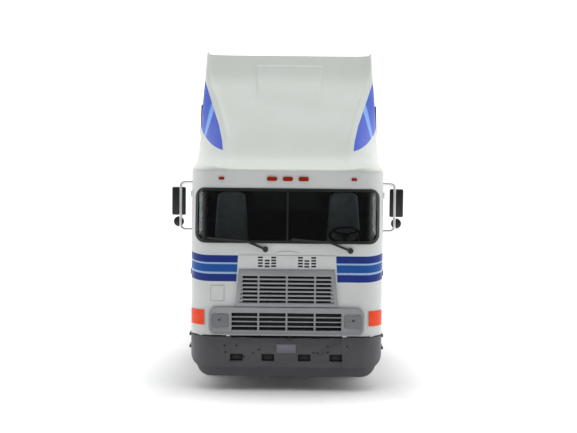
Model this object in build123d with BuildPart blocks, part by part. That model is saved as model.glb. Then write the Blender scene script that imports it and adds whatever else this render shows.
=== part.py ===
from build123d import *
import math
import os

# Scale model, about 1:43, of a cab-over sleeper tractor unit with a high roof fairing and three axles.
# Millimetres, +Z up, front towards -Y, the vehicle's left towards +X. The tyres stand on Z = 0 and the
# origin is under the middle of the overall length. Distances called "behind" run back from the bumper.

# Running gear
tyre_radius = 12.0
tyre_width = 6.2
tyre_shoulder = 0.9
tyre_flats = 48
rim_radius = 7.0
rim_wall = 0.8
rim_lip = 0.2
rod_radius = 1.0
rod_clearance = 0.05
front_axle_at = 31.0
wheelbase = 88.0
tandem_spacing = 32.0
rear_overhang = 18.0
dual_tyre_outer = 27.9
dual_gap = 0.8
disc_thick = 0.8
disc_depth = 1.9
hub_radius = 2.7
hub_cap_radius = 1.7
hub_cap_thick = 1.2
hub_cap_proud = 0.1
hub_reach = 2.0
hand_hole_radius = 0.6
hand_hole_circle = 4.4
hand_hole_count = 8

# Frame
rail_half_width = 10.0
rail_flange = 2.8
rail_wall = 0.9
rail_height = 6.2
rail_top = 23.5
rail_start = 5.0
member_depth = 1.6
pad_depth = 6.0
base_screw_radius = 0.9
base_screw_half_pitch = 5.0

# Cab
cab_width = 55.5
cab_corner = 7.0
cab_rear_corner = 1.2
cab_face = 1.0
cab_rear = 67.0
cab_bottom = 16.0
cab_roof = 62.8
cab_wall = 1.3
screen_base = 42.0
screen_rake = 0.1
floor_under = 28.0
floor_thick = 1.2
floor_clearance = 0.05
arch_gap = 2.6
skirt_rise = 3.0
door_front = 9.5
door_rear = 34.5
door_low = 28.2
door_corner = 2.0
groove_width = 0.3
groove_depth = 0.2
hood_groove_level = 38.9

# Windows
screen_low = 42.5
screen_corner = 2.7
gasket_width = 0.8
gasket_proud = 0.25
glass_thick = 0.8
glass_setback = 0.2
divider_width = 0.5
side_gasket_width = 0.6
side_window_corner = 1.5

# Roof fairing
fairing_height = 38.2
fairing_wall = 1.6
hatch_half = 10.6
hatch_rise = 0.4

# Grilles, lamps and bumper
grille_thick = 0.7
upper_grille_low = 24.4
upper_grille_high = 34.8
upper_grille_half_low = 14.6
upper_grille_half_high = 13.7
upper_frame = 1.1
upper_row_count = 7
slat_height = 0.48
grille_post = 0.5
grille_post_pitch = 8.05
lower_panel_low = 16.2
lower_panel_high = 24.2
lower_panel_corner = 2.2
lower_row_count = 4
lower_slat_height = 0.3
panel_rim = 0.5
panel_rim_proud = 0.2
backing_thick = 1.0
backing_lap = 0.8
lamp_width = 4.8
lamp_height = 3.9
lamp_corner = 0.6
lens_thick = 0.85
signal_low = 18.9
signal_high = 23.2
signal_end = 5.2
signal_proud = 0.3
bumper_low = 7.0
bumper_high = 15.7
bumper_corner = 7.2
bumper_wall = 1.4
bumper_reach = 16.0
bumper_lower_round = 3.6
dam_low = 4.2
dam_wall = 1.0
dam_lap = 2.0
dam_lower_round = 4.5
bracket_depth = 5.0

# What follows from those: along the vehicle
overall_length = front_axle_at + wheelbase + tandem_spacing + rear_overhang
front_y = -overall_length / 2
drive_axle_1_at = front_axle_at + wheelbase
drive_axle_2_at = drive_axle_1_at + tandem_spacing
bogie_at = (drive_axle_1_at + drive_axle_2_at) / 2
axle_level = tyre_radius
arch_radius = tyre_radius + arch_gap
roof_front = cab_face + (cab_roof - screen_base) * screen_rake

# Across it
cab_half = cab_width / 2
cab_inner_half = cab_half - cab_wall
cab_inner_face = cab_face + cab_wall
rail_bottom = rail_top - rail_height
rail_inner = rail_half_width - rail_flange
web_inner = rail_half_width - rail_wall
bumper_half = cab_half - 0.1
front_tyre_outer = cab_half - 2.35
screen_half_width = cab_half - 1.35
signal_inner = cab_half - 4.15
lower_panel_half = cab_half - 5.55
lamp_at = lower_panel_half - 3.3
lower_open_half = lamp_at - 3.2
upper_open_half = upper_grille_half_high - upper_frame

# Upwards
floor_top = floor_under + floor_thick
fairing_top = cab_roof + fairing_height
screen_high = cab_roof - 4.7
door_high = cab_roof - 2.8
marker_level = cab_roof - 2.0
upper_open_low = upper_grille_low + upper_frame
upper_open_high = upper_grille_high - 1.6
lower_open_low = lower_panel_low + 1.4
lower_open_high = lower_panel_high - 1.6
lower_level = (lower_open_low + lower_open_high) / 2
lamp_level = lower_level + 0.25

os.makedirs("parts", exist_ok=True)


def behind(distance):
    """The Y place of what lies this far behind the bumper's face."""
    return front_y + distance


def facing(distance):
    """An upright sketch plane across the vehicle; a positive extrusion runs forwards."""
    return Plane.XZ.offset(-behind(distance))


def save(made, name):
    """Label a finished piece and write it as its own file."""
    made.label = name
    export_step(made, f"parts/{name}.step")


def block(half_in, half_out, near, far, low, high):
    """A mirrored pair of blocks, or one block across the middle where half_in is zero."""
    with BuildPart() as made:
        with Locations(((half_in + half_out) / 2, behind((near + far) / 2), (low + high) / 2)):
            Box(half_out - half_in, far - near, high - low)
        mirror(about=Plane.YZ)
    return made.part


def plan_prism(face, rear, half, corner, rear_corner, low, high):
    """An upright prism on a plan that has round corners, larger ones at the front."""
    with BuildPart() as made:
        with BuildSketch(Plane.XY.offset(low)) as outline:
            with Locations((0, behind((face + rear) / 2))):
                Rectangle(2 * half, rear - face)
            fillet(outline.vertices().sort_by(Axis.Y)[:2], corner)
            fillet(outline.vertices().sort_by(Axis.Y)[-2:], rear_corner)
        extrude(amount=high - low)
    return made.part


def cab_form(grow, low, high):
    """The cab's body between two heights, grown outwards all round, upright below the screen's base."""
    with BuildPart() as made:
        for height in (low, screen_base, high):
            lean = max(0.0, height - screen_base) * screen_rake
            face = cab_face + lean - grow
            rear = cab_rear + grow
            with BuildSketch(Plane.XY.offset(height)) as outline:
                with Locations((0, behind((face + rear) / 2))):
                    Rectangle(cab_width + 2 * grow, rear - face)
                fillet(outline.vertices().sort_by(Axis.Y)[:2], cab_corner + grow)
                fillet(outline.vertices().sort_by(Axis.Y)[-2:], max(cab_rear_corner + grow, 0.2))
        loft(ruled=True)
    return made.part


def front_prism(half, low, high, corner, inset, near, far):
    """A rounded rectangle seen from the front, carried back from near to far."""
    with BuildPart() as made:
        with BuildSketch(facing(near)):
            with Locations((0, (low + high) / 2)):
                RectangleRounded(2 * (half - inset), high - low - 2 * inset, corner - inset)
        extrude(amount=near - far)
    return made.part


def side_prism(points, corner, inset, inner, outer):
    """A mirrored pair of upright plates with an outline given as (distance behind, height) points."""
    with BuildPart() as made:
        with BuildSketch(Plane.YZ.offset(inner)) as outline:
            with BuildLine():
                Polyline(*[(behind(distance), height) for distance, height in points], close=True)
            make_face()
            if corner > 0:
                fillet(outline.vertices(), corner)
            if inset > 0:
                offset(amount=-inset, mode=Mode.REPLACE)
        extrude(amount=outer - inner)
        mirror(about=Plane.YZ)
    return made.part


def turned(points, axle_at):
    """A mirrored pair of bodies of revolution about an axle, from (X, radius) points."""
    centre = (0, behind(axle_at), axle_level)
    with BuildPart() as made:
        with BuildSketch(facing(axle_at)):
            with BuildLine():
                Polyline(*[(x, axle_level + radius) for x, radius in points], close=True)
            make_face()
        revolve(axis=Axis(centre, (1, 0, 0)))
        mirror(about=Plane.YZ)
    return made.part


# Wheels: a steel rod through each axle, with a rim and tyre, or a pair of them, at either end
def tyre_pair(outer, axle_at):
    """A mirrored pair of tyres whose outer walls stand at the given X, lofted on many short flats."""
    inner = outer - tyre_width
    wall_top = tyre_radius - tyre_shoulder
    centre = (behind(axle_at), axle_level)
    half_flat = 180 / tyre_flats
    sections = (
        (inner, wall_top),
        (inner + tyre_shoulder, tyre_radius),
        (outer - tyre_shoulder, tyre_radius),
        (outer, wall_top),
    )
    with BuildPart() as made:
        for x, radius in sections:
            with BuildSketch(Plane.YZ.offset(x)):
                with Locations(centre):
                    RegularPolygon(radius, tyre_flats, major_radius=False, rotation=half_flat)
        loft(ruled=True)
        with BuildSketch(Plane.YZ.offset(inner)):
            with Locations(centre):
                RegularPolygon(rim_radius, tyre_flats, major_radius=False, rotation=half_flat)
        extrude(amount=tyre_width, mode=Mode.SUBTRACT)
        mirror(about=Plane.YZ)
    return made.part


def rim(low, high, disc, hub_in, hub_out):
    """The section of a rim from low to high, with the places of its disc's face and of its hub's ends."""
    barrel = rim_radius - rim_wall
    rod_end = hub_out - hub_cap_thick
    return [
        (hub_in, rod_radius),
        (rod_end, rod_radius),
        (rod_end, 0),
        (hub_out, 0),
        (hub_out, hub_cap_radius),
        (rod_end, hub_radius),
        (disc, hub_radius),
        (disc, barrel),
        (high, barrel),
        (high, rim_radius),
        (low, rim_radius),
        (low, barrel),
        (disc - disc_thick, barrel),
        (disc - disc_thick, hub_radius),
        (hub_in, hub_radius),
    ]


def holed(wheels, disc, axle_at):
    """The rims with a ring of round hand holes through their discs."""
    centre = (0, behind(axle_at), axle_level)
    with BuildPart() as made:
        add(wheels)
        for side in (-1, 1):
            face = Plane(origin=(side * (disc + rim_lip), centre[1], centre[2]), z_dir=(side, 0, 0))
            with BuildSketch(face):
                with PolarLocations(hand_hole_circle, hand_hole_count):
                    RegularPolygon(hand_hole_radius, 8)
            extrude(amount=-disc_thick - 2 * rim_lip, mode=Mode.SUBTRACT)
    return made.part


def rod(half_length, axle_at):
    """One steel axle rod across the vehicle."""
    with BuildPart() as made:
        with BuildSketch(Plane.YZ.offset(-half_length)):
            with Locations((behind(axle_at), axle_level)):
                Circle(rod_radius)
        extrude(amount=2 * half_length)
    return made.part


front_tyre_inner = front_tyre_outer - tyre_width
front_disc = front_tyre_outer - disc_depth
front_hub_out = front_tyre_outer + hub_cap_proud
front_hub_in = front_disc - hub_reach
front_lips = (front_tyre_inner + rim_lip, front_tyre_outer - rim_lip)
front_rim = rim(*front_lips, front_disc, front_hub_in, front_hub_out)
save(tyre_pair(front_tyre_outer, front_axle_at), "front_tyres")
save(holed(turned(front_rim, front_axle_at), front_disc, front_axle_at), "front_rims")
save(rod(front_hub_out - hub_cap_thick, front_axle_at), "front_axle_rod")

inner_dual_outer = dual_tyre_outer - tyre_width - dual_gap
inner_dual_inner = inner_dual_outer - tyre_width
drive_disc = dual_tyre_outer - tyre_width + disc_thick / 2
drive_hub_out = dual_tyre_outer - hub_reach
drive_lips = (inner_dual_inner + rim_lip, dual_tyre_outer - rim_lip)
drive_rim = rim(*drive_lips, drive_disc, drive_disc - hub_reach - 0.5, drive_hub_out)
for number, axle_at in ((1, drive_axle_1_at), (2, drive_axle_2_at)):
    with BuildPart() as duals:
        add(tyre_pair(dual_tyre_outer, axle_at))
        add(tyre_pair(inner_dual_outer, axle_at))
    save(duals.part, f"drive_tyres_{number}")
    save(turned(drive_rim, axle_at), f"drive_rims_{number}")
    save(rod(drive_hub_out - hub_cap_thick, axle_at), f"drive_axle_rod_{number}")

# Frame rails: channels that face each other, with the cross-members' ends inside them
rail_end = overall_length - 3.0
for name, side in (("frame_rail_left", 1), ("frame_rail_right", -1)):
    with BuildPart() as rail:
        with BuildSketch(facing(rail_start)):
            with Locations((side * (rail_half_width - rail_flange / 2), rail_top - rail_height / 2)):
                Rectangle(rail_flange, rail_height)
            with Locations((side * (rail_inner + web_inner) / 2, rail_top - rail_height / 2)):
                Rectangle(web_inner - rail_inner, rail_height - 2 * rail_wall, mode=Mode.SUBTRACT)
        extrude(amount=rail_start - rail_end)
    save(rail.part, name)

# Cross-members at these distances behind the bumper; the two deep ones take a display base's screws
member_low = rail_bottom + rail_wall
member_high = rail_top - rail_wall
plain_members = (rail_start + 5.0, drive_axle_1_at - 7.0, bogie_at, rail_end - 2.0)
screw_members = (cab_rear + 5.0, drive_axle_1_at - 19.0)
with BuildPart() as cross_members:
    for centre in plain_members:
        with Locations((0, behind(centre), (member_low + member_high) / 2)):
            Box(2 * web_inner, member_depth, member_high - member_low)
    for centre in screw_members:
        with Locations((0, behind(centre), (member_low + member_high) / 2)):
            Box(2 * web_inner, pad_depth, member_high - member_low)
            with Locations((-base_screw_half_pitch, 0, 0), (base_screw_half_pitch, 0, 0)):
                Hole(base_screw_radius)
save(cross_members.part, "cross_members")

# Bumper: a hollow wrap-round shell with the lower corners rounded up, four pockets and a stepped middle
middle_half = lower_open_half + 0.2
middle_drop = 0.3
middle_recess = 0.25
pocket_width = 3.6
pocket_height = 2.0
pocket_depth = 0.8
pocket_level = bumper_low + 2.8
pocket_places = (-middle_half + 1.7, -5.2, 5.2, middle_half - 1.7)


def lower_rounding(half, low, high, radius):
    """A front view with its two lower corners rounded, carried back past the bumper's ends."""
    with BuildPart() as made:
        with BuildSketch(facing(-1.0)) as outline:
            with Locations((0, (low + high) / 2)):
                Rectangle(2 * half, high - low)
            fillet(outline.vertices().sort_by(Axis.Y)[:2], radius)
        extrude(amount=-bumper_reach - 2.0)
    return made.part


with BuildPart() as bumper:
    add(plan_prism(0, bumper_reach, bumper_half, bumper_corner, 0.5, bumper_low, bumper_high))
    add(lower_rounding(bumper_half, bumper_low, bumper_high, bumper_lower_round), mode=Mode.INTERSECT)
    add(
        plan_prism(
            bumper_wall,
            bumper_reach + 1.0,
            bumper_half - bumper_wall,
            bumper_corner - bumper_wall,
            0.5,
            bumper_low - 1.0,
            bumper_high + 1.0,
        ),
        mode=Mode.SUBTRACT,
    )
    with Locations((0, behind(0), bumper_high)):
        Box(2 * middle_half, 2 * bumper_corner, 2 * middle_drop, mode=Mode.SUBTRACT)
    with Locations((0, behind(0), (bumper_low + bumper_high) / 2)):
        Box(2 * middle_half, 2 * middle_recess, bumper_high - bumper_low + 2.0, mode=Mode.SUBTRACT)
    with Locations(*[(place, behind(middle_recess), pocket_level) for place in pocket_places]):
        Box(pocket_width, 2 * pocket_depth, pocket_height, mode=Mode.SUBTRACT)
save(bumper.part, "bumper")

# Air dam: a thinner wall that laps up inside the bumper
dam_half = bumper_half - bumper_wall
dam_corner = bumper_corner - bumper_wall
dam_high = bumper_low + dam_lap
with BuildPart() as air_dam:
    add(plan_prism(bumper_wall, bumper_reach - 1.0, dam_half, dam_corner, 0.5, dam_low, dam_high))
    add(
        plan_prism(
            bumper_wall + dam_wall,
            bumper_reach,
            dam_half - dam_wall,
            dam_corner - dam_wall,
            0.5,
            dam_low - 1.0,
            dam_high + 1.0,
        ),
        mode=Mode.SUBTRACT,
    )
    add(lower_rounding(dam_half, dam_low, bumper_high, dam_lower_round), mode=Mode.INTERSECT)
save(air_dam.part, "air_dam")

# Brackets that hang the bumper from the rails, above the dam's lap
bracket_low = dam_high + 1.0
bracket_step = cab_bottom - 0.4
bracket_end = rail_start + bracket_depth
with BuildPart() as bumper_brackets:
    add(block(rail_inner, rail_half_width, bumper_wall, bracket_end, bracket_low, bracket_step))
    add(block(rail_inner, rail_half_width, rail_start, bracket_end, bracket_step, rail_bottom))
save(bumper_brackets.part, "bumper_brackets")

# Step treads that stand proud of the bumper's ends, ahead of the wheels
step_proud = 0.7
step_thick = 0.8
step_near = bumper_corner + 1.8
step_far = bumper_reach - 1.0
with BuildPart() as side_steps:
    for low in (bumper_high - 1.2, bumper_high - 4.8):
        add(block(bumper_half, bumper_half + step_proud, step_near, step_far, low, low + step_thick))
save(side_steps.part, "side_steps")

# Cab shell: walls and roof in one, with the screen, door windows, grille openings and wheel arches cut
door_outline = (
    (door_front, door_low),
    (door_rear, door_low),
    (door_rear, door_high),
    (door_front, door_high),
)
groove_in = cab_half - groove_depth
groove_out = cab_half + groove_depth
door_window = (
    (door_front + 2.5, screen_low + 0.5),
    (door_rear - 3.0, screen_low + 0.5),
    (door_rear - 3.0, door_high - 2.7),
    (door_front + 4.1, door_high - 2.7),
)
vent_width = 1.4
vent_slit = 0.5
vent_pitch = 0.82
vent_depth = 0.4
access_door_at = -19.8
access_door_level = 28.2
access_door_size = (4.2, 4.8)
# Columns: distance of the vents from the middle, drop of the top slit below the groove, count of slits
vent_columns = ((7.6, 0.2, 4), (5.65, 1.1, 3), (3.8, 0.2, 4))
screen_cut = front_prism(screen_half_width, screen_low, screen_high, screen_corner, 0, -1.0, 20.0)


def rounded_ring(size, corner, width):
    """Add to the open sketch a rounded rectangle's outline of this width."""
    RectangleRounded(size[0], size[1], corner)
    RectangleRounded(size[0] - 2 * width, size[1] - 2 * width, corner - width, mode=Mode.SUBTRACT)


with BuildPart() as cab_shell:
    add(cab_form(0, cab_bottom, cab_roof))
    add(cab_form(-cab_wall, cab_bottom - 1.0, cab_roof - cab_wall), mode=Mode.SUBTRACT)
    add(screen_cut, mode=Mode.SUBTRACT)
    add(side_prism(door_window, side_window_corner, 0, 0, cab_width), mode=Mode.SUBTRACT)
    with Locations((0, behind(front_axle_at), axle_level)):
        Cylinder(arch_radius, cab_width + 2.0, rotation=(0, 90, 0), mode=Mode.SUBTRACT)
    with Locations((0, behind(cab_rear), cab_bottom)):
        Box(cab_width + 2.0, 2 * (cab_rear - front_axle_at), 2 * skirt_rise, mode=Mode.SUBTRACT)
    with Locations((0, behind(cab_rear), floor_under - cab_bottom)):
        Box(2 * cab_inner_half, 4 * cab_wall, 2 * cab_bottom, mode=Mode.SUBTRACT)
    with Locations((0, behind(cab_face), (upper_open_low + upper_open_high) / 2)):
        Box(2 * upper_open_half, 4 * cab_wall, upper_open_high - upper_open_low, mode=Mode.SUBTRACT)
    with Locations((0, behind(cab_face), (lower_open_low + lower_open_high) / 2)):
        Box(2 * lower_open_half, 4 * cab_wall, lower_open_high - lower_open_low, mode=Mode.SUBTRACT)
    for column, drop, slits in vent_columns:
        for row in range(slits):
            level = hood_groove_level - drop - vent_slit / 2 - row * vent_pitch
            with Locations((-column, behind(cab_face), level), (column, behind(cab_face), level)):
                Box(vent_width, 2 * vent_depth, vent_slit, mode=Mode.SUBTRACT)
    for level in (hood_groove_level + groove_width, upper_grille_high + groove_width):
        with Locations((0, behind(cab_face), level)):
            Box(2 * upper_grille_half_high, 2 * groove_depth, groove_width, mode=Mode.SUBTRACT)
    with BuildSketch(facing(cab_face + groove_depth)):
        with Locations((access_door_at, access_door_level)):
            rounded_ring(access_door_size, lamp_corner, groove_width)
    extrude(amount=2 * groove_depth, mode=Mode.SUBTRACT)
    add(
        side_prism(door_outline, door_corner, 0, groove_in, groove_out)
        - side_prism(door_outline, door_corner, groove_width, groove_in, groove_out),
        mode=Mode.SUBTRACT,
    )
save(cab_shell.part, "cab_shell")

# Cab floor inside the walls, on four mounts that stand on the rails
with BuildPart() as cab_floor:
    add(
        plan_prism(
            cab_inner_face + backing_thick + floor_clearance,
            cab_rear - cab_wall - floor_clearance,
            cab_inner_half - floor_clearance,
            cab_corner - cab_wall - floor_clearance,
            0.2,
            floor_under,
            floor_top,
        )
    )
save(cab_floor.part, "cab_floor")
mount_depth = 4.0
with BuildPart() as cab_mounts:
    for near in (rail_start + 7.0, cab_rear - 11.0):
        add(block(rail_inner, rail_half_width, near, near + mount_depth, rail_top, floor_under))
save(cab_mounts.part, "cab_mounts")

# Roof fairing, lofted through upright sections. Columns: share of the way from its front to the cab's rear,
# height of the shoulder as a share of the fairing's, the ridge's distance from the side, and the heights of
# the ridge and of the scoop between the ridges, as such shares too.
fairing_start = cab_face + 2.0
fairing_rows = (
    (0.0, 0.010, 9.15, 0.021, 0.016),
    (0.172, 0.026, 9.45, 0.110, 0.089),
    (0.328, 0.047, 8.95, 0.277, 0.249),
    (0.516, 0.178, 6.55, 0.466, 0.432),
    (0.6875, 0.539, 3.85, 0.628, 0.597),
    (0.844, 0.7225, 1.25, 0.770, 0.743),
    (1.0, 0.963, 0.35, 1.0, 0.963),
)
hollow_front_row = (0.266, 0.039, 9.15, 0.209, 0.181)
ridge_slope = 1.8
shoulder_bulge = 0.09


def fairing_section(along, shoulder, ridge, crest, scoop):
    """One section in millimetres: distance, shoulder height, ridge half-width and height, scoop height."""
    return (
        fairing_start + along * (cab_rear - fairing_start),
        cab_roof + shoulder * fairing_height,
        cab_half - ridge,
        cab_roof + crest * fairing_height,
        cab_roof + scoop * fairing_height,
    )


def scooped(sections, inset):
    """A loft of sections with a flat base, upright sides, swelled shoulders and a scoop between ridges."""
    half = cab_half - inset
    with BuildPart() as made:
        for distance, shoulder, ridge, ridge_top, scoop in sections:
            side = (half, max(shoulder - inset, cab_roof + 0.2))
            crest = (ridge - inset / 2, ridge_top - 1.5 * inset)
            foot = (ridge - ridge_slope - inset / 2, scoop - 1.5 * inset)
            rise = (side[0] - crest[0], crest[1] - side[1])
            swell = (
                (side[0] + crest[0]) / 2 + shoulder_bulge * rise[1],
                (side[1] + crest[1]) / 2 + shoulder_bulge * rise[0],
            )
            right = [(half, cab_roof), side, swell, crest, foot]
            left = [(-x, z) for x, z in reversed(right)]
            with BuildSketch(facing(distance)):
                with BuildLine():
                    Polyline(*right, *left, close=True)
                make_face()
        loft(ruled=True)
    return made.part


fairing_sections = [fairing_section(*row) for row in fairing_rows]
hollow_sections = [
    fairing_section(*hollow_front_row),
    *fairing_sections[2:-1],
    (cab_rear - fairing_wall, *fairing_sections[-1][1:]),
]
bunk_window_low = cab_roof + 0.249 * fairing_height
bunk_window_high = cab_roof + 0.518 * fairing_height
bunk_window = (
    (cab_rear - 24.0, bunk_window_low),
    (cab_rear - 9.0, bunk_window_low),
    (cab_rear - 9.0, bunk_window_high),
    (cab_rear - 19.5, bunk_window_high),
)
# A hatch stands a little proud of the scoop, towards its upper end
hatch_near = cab_rear - 28.0
hatch_far = cab_rear - 6.0
fairing_form = scooped(fairing_sections, 0)
with BuildPart() as hatch:
    add(fairing_form)
    add(block(0, hatch_half, hatch_near, hatch_far, cab_roof, fairing_top), mode=Mode.INTERSECT)
with BuildPart() as roof_fairing:
    add(fairing_form)
    add(hatch.part.moved(Location((0, 0, hatch_rise))))
    add(
        plan_prism(
            roof_front,
            cab_rear,
            cab_half,
            cab_corner,
            cab_rear_corner,
            cab_roof,
            fairing_top + 1.0,
        ),
        mode=Mode.INTERSECT,
    )
    add(scooped(hollow_sections, fairing_wall), mode=Mode.SUBTRACT)
    add(side_prism(bunk_window, side_window_corner, 0, 0, cab_width), mode=Mode.SUBTRACT)
save(roof_fairing.part, "roof_fairing")

# Screen: glass that wraps the corners, in a black gasket with a thin divider
with BuildPart() as windscreen:
    add(front_prism(screen_half_width, screen_low, screen_high, screen_corner, gasket_width, -1.0, 20.0))
    add(cab_form(-glass_setback, cab_bottom, cab_roof), mode=Mode.INTERSECT)
    add(cab_form(-glass_setback - glass_thick, cab_bottom, cab_roof), mode=Mode.SUBTRACT)
save(windscreen.part, "windscreen")
with BuildPart() as screen_gasket:
    add(screen_cut)
    add(
        front_prism(screen_half_width, screen_low, screen_high, screen_corner, gasket_width, -2.0, 21.0),
        mode=Mode.SUBTRACT,
    )
    add(cab_form(gasket_proud, cab_bottom, cab_roof), mode=Mode.INTERSECT)
    add(cab_form(-cab_wall, cab_bottom - 1.0, cab_roof + 1.0), mode=Mode.SUBTRACT)
with BuildPart() as screen_divider:
    with Locations((0, behind(cab_face), (screen_low + screen_high) / 2)):
        Box(divider_width, 2 * cab_corner, screen_high - screen_low - gasket_width)
    add(cab_form(gasket_proud, cab_bottom, cab_roof), mode=Mode.INTERSECT)
    add(cab_form(-glass_setback, cab_bottom - 1.0, cab_roof + 1.0), mode=Mode.SUBTRACT)
with BuildPart() as screen_frame:
    add(screen_gasket.part)
    add(screen_divider.part)
save(screen_frame.part, "windscreen_gasket")

# Side windows: panes and gaskets for the doors and the upper bunk
pane_out = cab_half - glass_setback
pane_in = pane_out - glass_thick
with BuildPart() as side_glass:
    for outline in (door_window, bunk_window):
        add(side_prism(outline, side_window_corner, side_gasket_width, pane_in, pane_out))
save(side_glass.part, "side_windows")
gasket_face = cab_half + gasket_proud
with BuildPart() as side_gaskets:
    for outline, wall in ((door_window, cab_wall), (bunk_window, fairing_wall)):
        inner = cab_half - wall
        add(
            side_prism(outline, side_window_corner, 0, inner, gasket_face)
            - side_prism(outline, side_window_corner, side_gasket_width, inner - 1.0, gasket_face + 1.0)
        )
save(side_gaskets.part, "side_window_gaskets")

# Grilles: slats and posts inside a frame that seats on the cab's face
slat_gap = (upper_open_high - upper_open_low - (upper_row_count - 1) * slat_height) / upper_row_count
slat_lap = 0.2
upper_open_half_low = upper_grille_half_low - upper_frame
upper_level = (upper_open_low + upper_open_high) / 2
post_places = (-grille_post_pitch, 0, grille_post_pitch)
with BuildPart() as upper_grille:
    with BuildSketch(facing(cab_face)):
        with BuildLine():
            Polyline(
                (-upper_grille_half_low, upper_grille_low),
                (upper_grille_half_low, upper_grille_low),
                (upper_grille_half_high, upper_grille_high),
                (-upper_grille_half_high, upper_grille_high),
                close=True,
            )
        make_face()
        with BuildLine():
            Polyline(
                (-upper_open_half_low, upper_open_low),
                (upper_open_half_low, upper_open_low),
                (upper_open_half, upper_open_high),
                (-upper_open_half, upper_open_high),
                close=True,
            )
        make_face(mode=Mode.SUBTRACT)
        for row in range(1, upper_row_count):
            level = upper_open_low + row * (slat_gap + slat_height) - slat_height / 2
            with Locations((0, level)):
                Rectangle(2 * (upper_open_half_low + slat_lap), slat_height)
        with Locations(*[(place, upper_level) for place in post_places]):
            Rectangle(grille_post, upper_open_high - upper_open_low + 2 * slat_lap)
    extrude(amount=grille_thick)
save(upper_grille.part, "upper_grille")

lower_gap = (lower_open_high - lower_open_low - (lower_row_count - 1) * lower_slat_height) / lower_row_count
with BuildPart() as lower_grille:
    with BuildSketch(facing(cab_face - grille_thick)):
        with Locations((0, (lower_panel_low + lower_panel_high) / 2)):
            RectangleRounded(2 * lower_panel_half, lower_panel_high - lower_panel_low, lower_panel_corner)
        with Locations((0, lower_level)):
            Rectangle(2 * lower_open_half, lower_open_high - lower_open_low, mode=Mode.SUBTRACT)
        with Locations((-lamp_at, lamp_level), (lamp_at, lamp_level)):
            RectangleRounded(lamp_width, lamp_height, lamp_corner, mode=Mode.SUBTRACT)
        for row in range(1, lower_row_count):
            level = lower_open_low + row * (lower_gap + lower_slat_height) - lower_slat_height / 2
            with Locations((0, level)):
                Rectangle(2 * (lower_open_half + slat_lap), lower_slat_height)
        with Locations(*[(place, lower_level) for place in post_places]):
            Rectangle(grille_post, lower_open_high - lower_open_low + 2 * slat_lap)
    extrude(amount=-grille_thick - 0.5)
    with BuildSketch(facing(cab_face - grille_thick)):
        with Locations((0, (lower_panel_low + lower_panel_high) / 2)):
            rounded_ring(
                (2 * lower_panel_half, lower_panel_high - lower_panel_low), lower_panel_corner, panel_rim
            )
    extrude(amount=panel_rim_proud)
    add(cab_form(0, cab_bottom - 1.0, cab_roof), mode=Mode.SUBTRACT)
save(lower_grille.part, "lower_grille")

with BuildPart() as grille_backing:
    for half, low, high in (
        (upper_open_half + backing_lap, upper_open_low - backing_lap, upper_open_high + backing_lap),
        (lower_open_half + backing_lap, lower_open_low - backing_lap, lower_open_high + backing_lap),
    ):
        with Locations((0, behind(cab_inner_face + backing_thick / 2), (low + high) / 2)):
            Box(2 * half, backing_thick, high - low)
save(grille_backing.part, "grille_backing")

# Lamps: head lamps in the lower panel, turn signals round the corners, five markers over the screen
with BuildPart() as headlamps:
    with BuildSketch(facing(cab_face - lens_thick)):
        with Locations((-lamp_at, lamp_level), (lamp_at, lamp_level)):
            RectangleRounded(lamp_width, lamp_height, lamp_corner)
    extrude(amount=-lens_thick - 0.5)
    add(cab_form(0, cab_bottom - 1.0, cab_roof), mode=Mode.SUBTRACT)
save(headlamps.part, "headlamps")

with BuildPart() as turn_signals:
    add(block(signal_inner, cab_half + 2.0, 0, signal_end, signal_low, signal_high))
    add(cab_form(signal_proud, cab_bottom, cab_roof), mode=Mode.INTERSECT)
    add(cab_form(0, cab_bottom - 1.0, cab_roof), mode=Mode.SUBTRACT)
save(turn_signals.part, "turn_signals")

marker_proud = 0.4
marker_pitch = 4.5
end_marker_at = screen_half_width - 7.5
with BuildPart() as marker_lamps:
    with BuildSketch(facing(0)):
        with Locations((-marker_pitch, marker_level), (0, marker_level), (marker_pitch, marker_level)):
            RectangleRounded(2.9, 1.2, 0.5)
        with Locations((-end_marker_at, marker_level), (end_marker_at, marker_level)):
            RectangleRounded(1.6, 0.8, 0.3)
    extrude(amount=-6.0)
    add(cab_form(marker_proud, cab_bottom, cab_roof), mode=Mode.INTERSECT)
    add(cab_form(0, cab_bottom - 1.0, cab_roof + 1.0), mode=Mode.SUBTRACT)
save(marker_lamps.part, "marker_lamps")

# Wipers: a spindle on the cab's face, an arm and a blade that lies along the foot of the glass.
# Columns: X and height over the screen's foot of the spindle, of the arm's far end and of the blade's.
wiper_rows = (
    ((-6.2, -1.7), (-11.4, 0.5), (-22.5, 1.4)),
    ((18.0, -1.9), (12.2, 0.4), (1.4, 1.2)),
)
wiper_width = 0.6
wiper_thick = 0.5
spindle_radius = 0.8
wiper_gap = gasket_proud + 0.05


def bar(start, end, width):
    """Add to the open sketch a round-ended bar between two points."""
    run = Vector(*end) - Vector(*start)
    middle = (Vector(*end) + Vector(*start)) / 2
    with Locations(middle):
        SlotCenterToCenter(run.length, width, rotation=math.degrees(math.atan2(run.Y, run.X)))


with BuildPart() as wipers:
    for row in wiper_rows:
        spindle, elbow, tip = [(x, screen_low + rise) for x, rise in row]
        with BuildSketch(facing(cab_face)):
            with Locations(spindle):
                Circle(spindle_radius)
        extrude(amount=wiper_gap + wiper_thick)
        with BuildSketch(facing(cab_face - wiper_gap)):
            bar(spindle, elbow, wiper_width)
            bar(elbow, tip, wiper_width)
        extrude(amount=wiper_thick)
save(wipers.part, "wipers")

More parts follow.
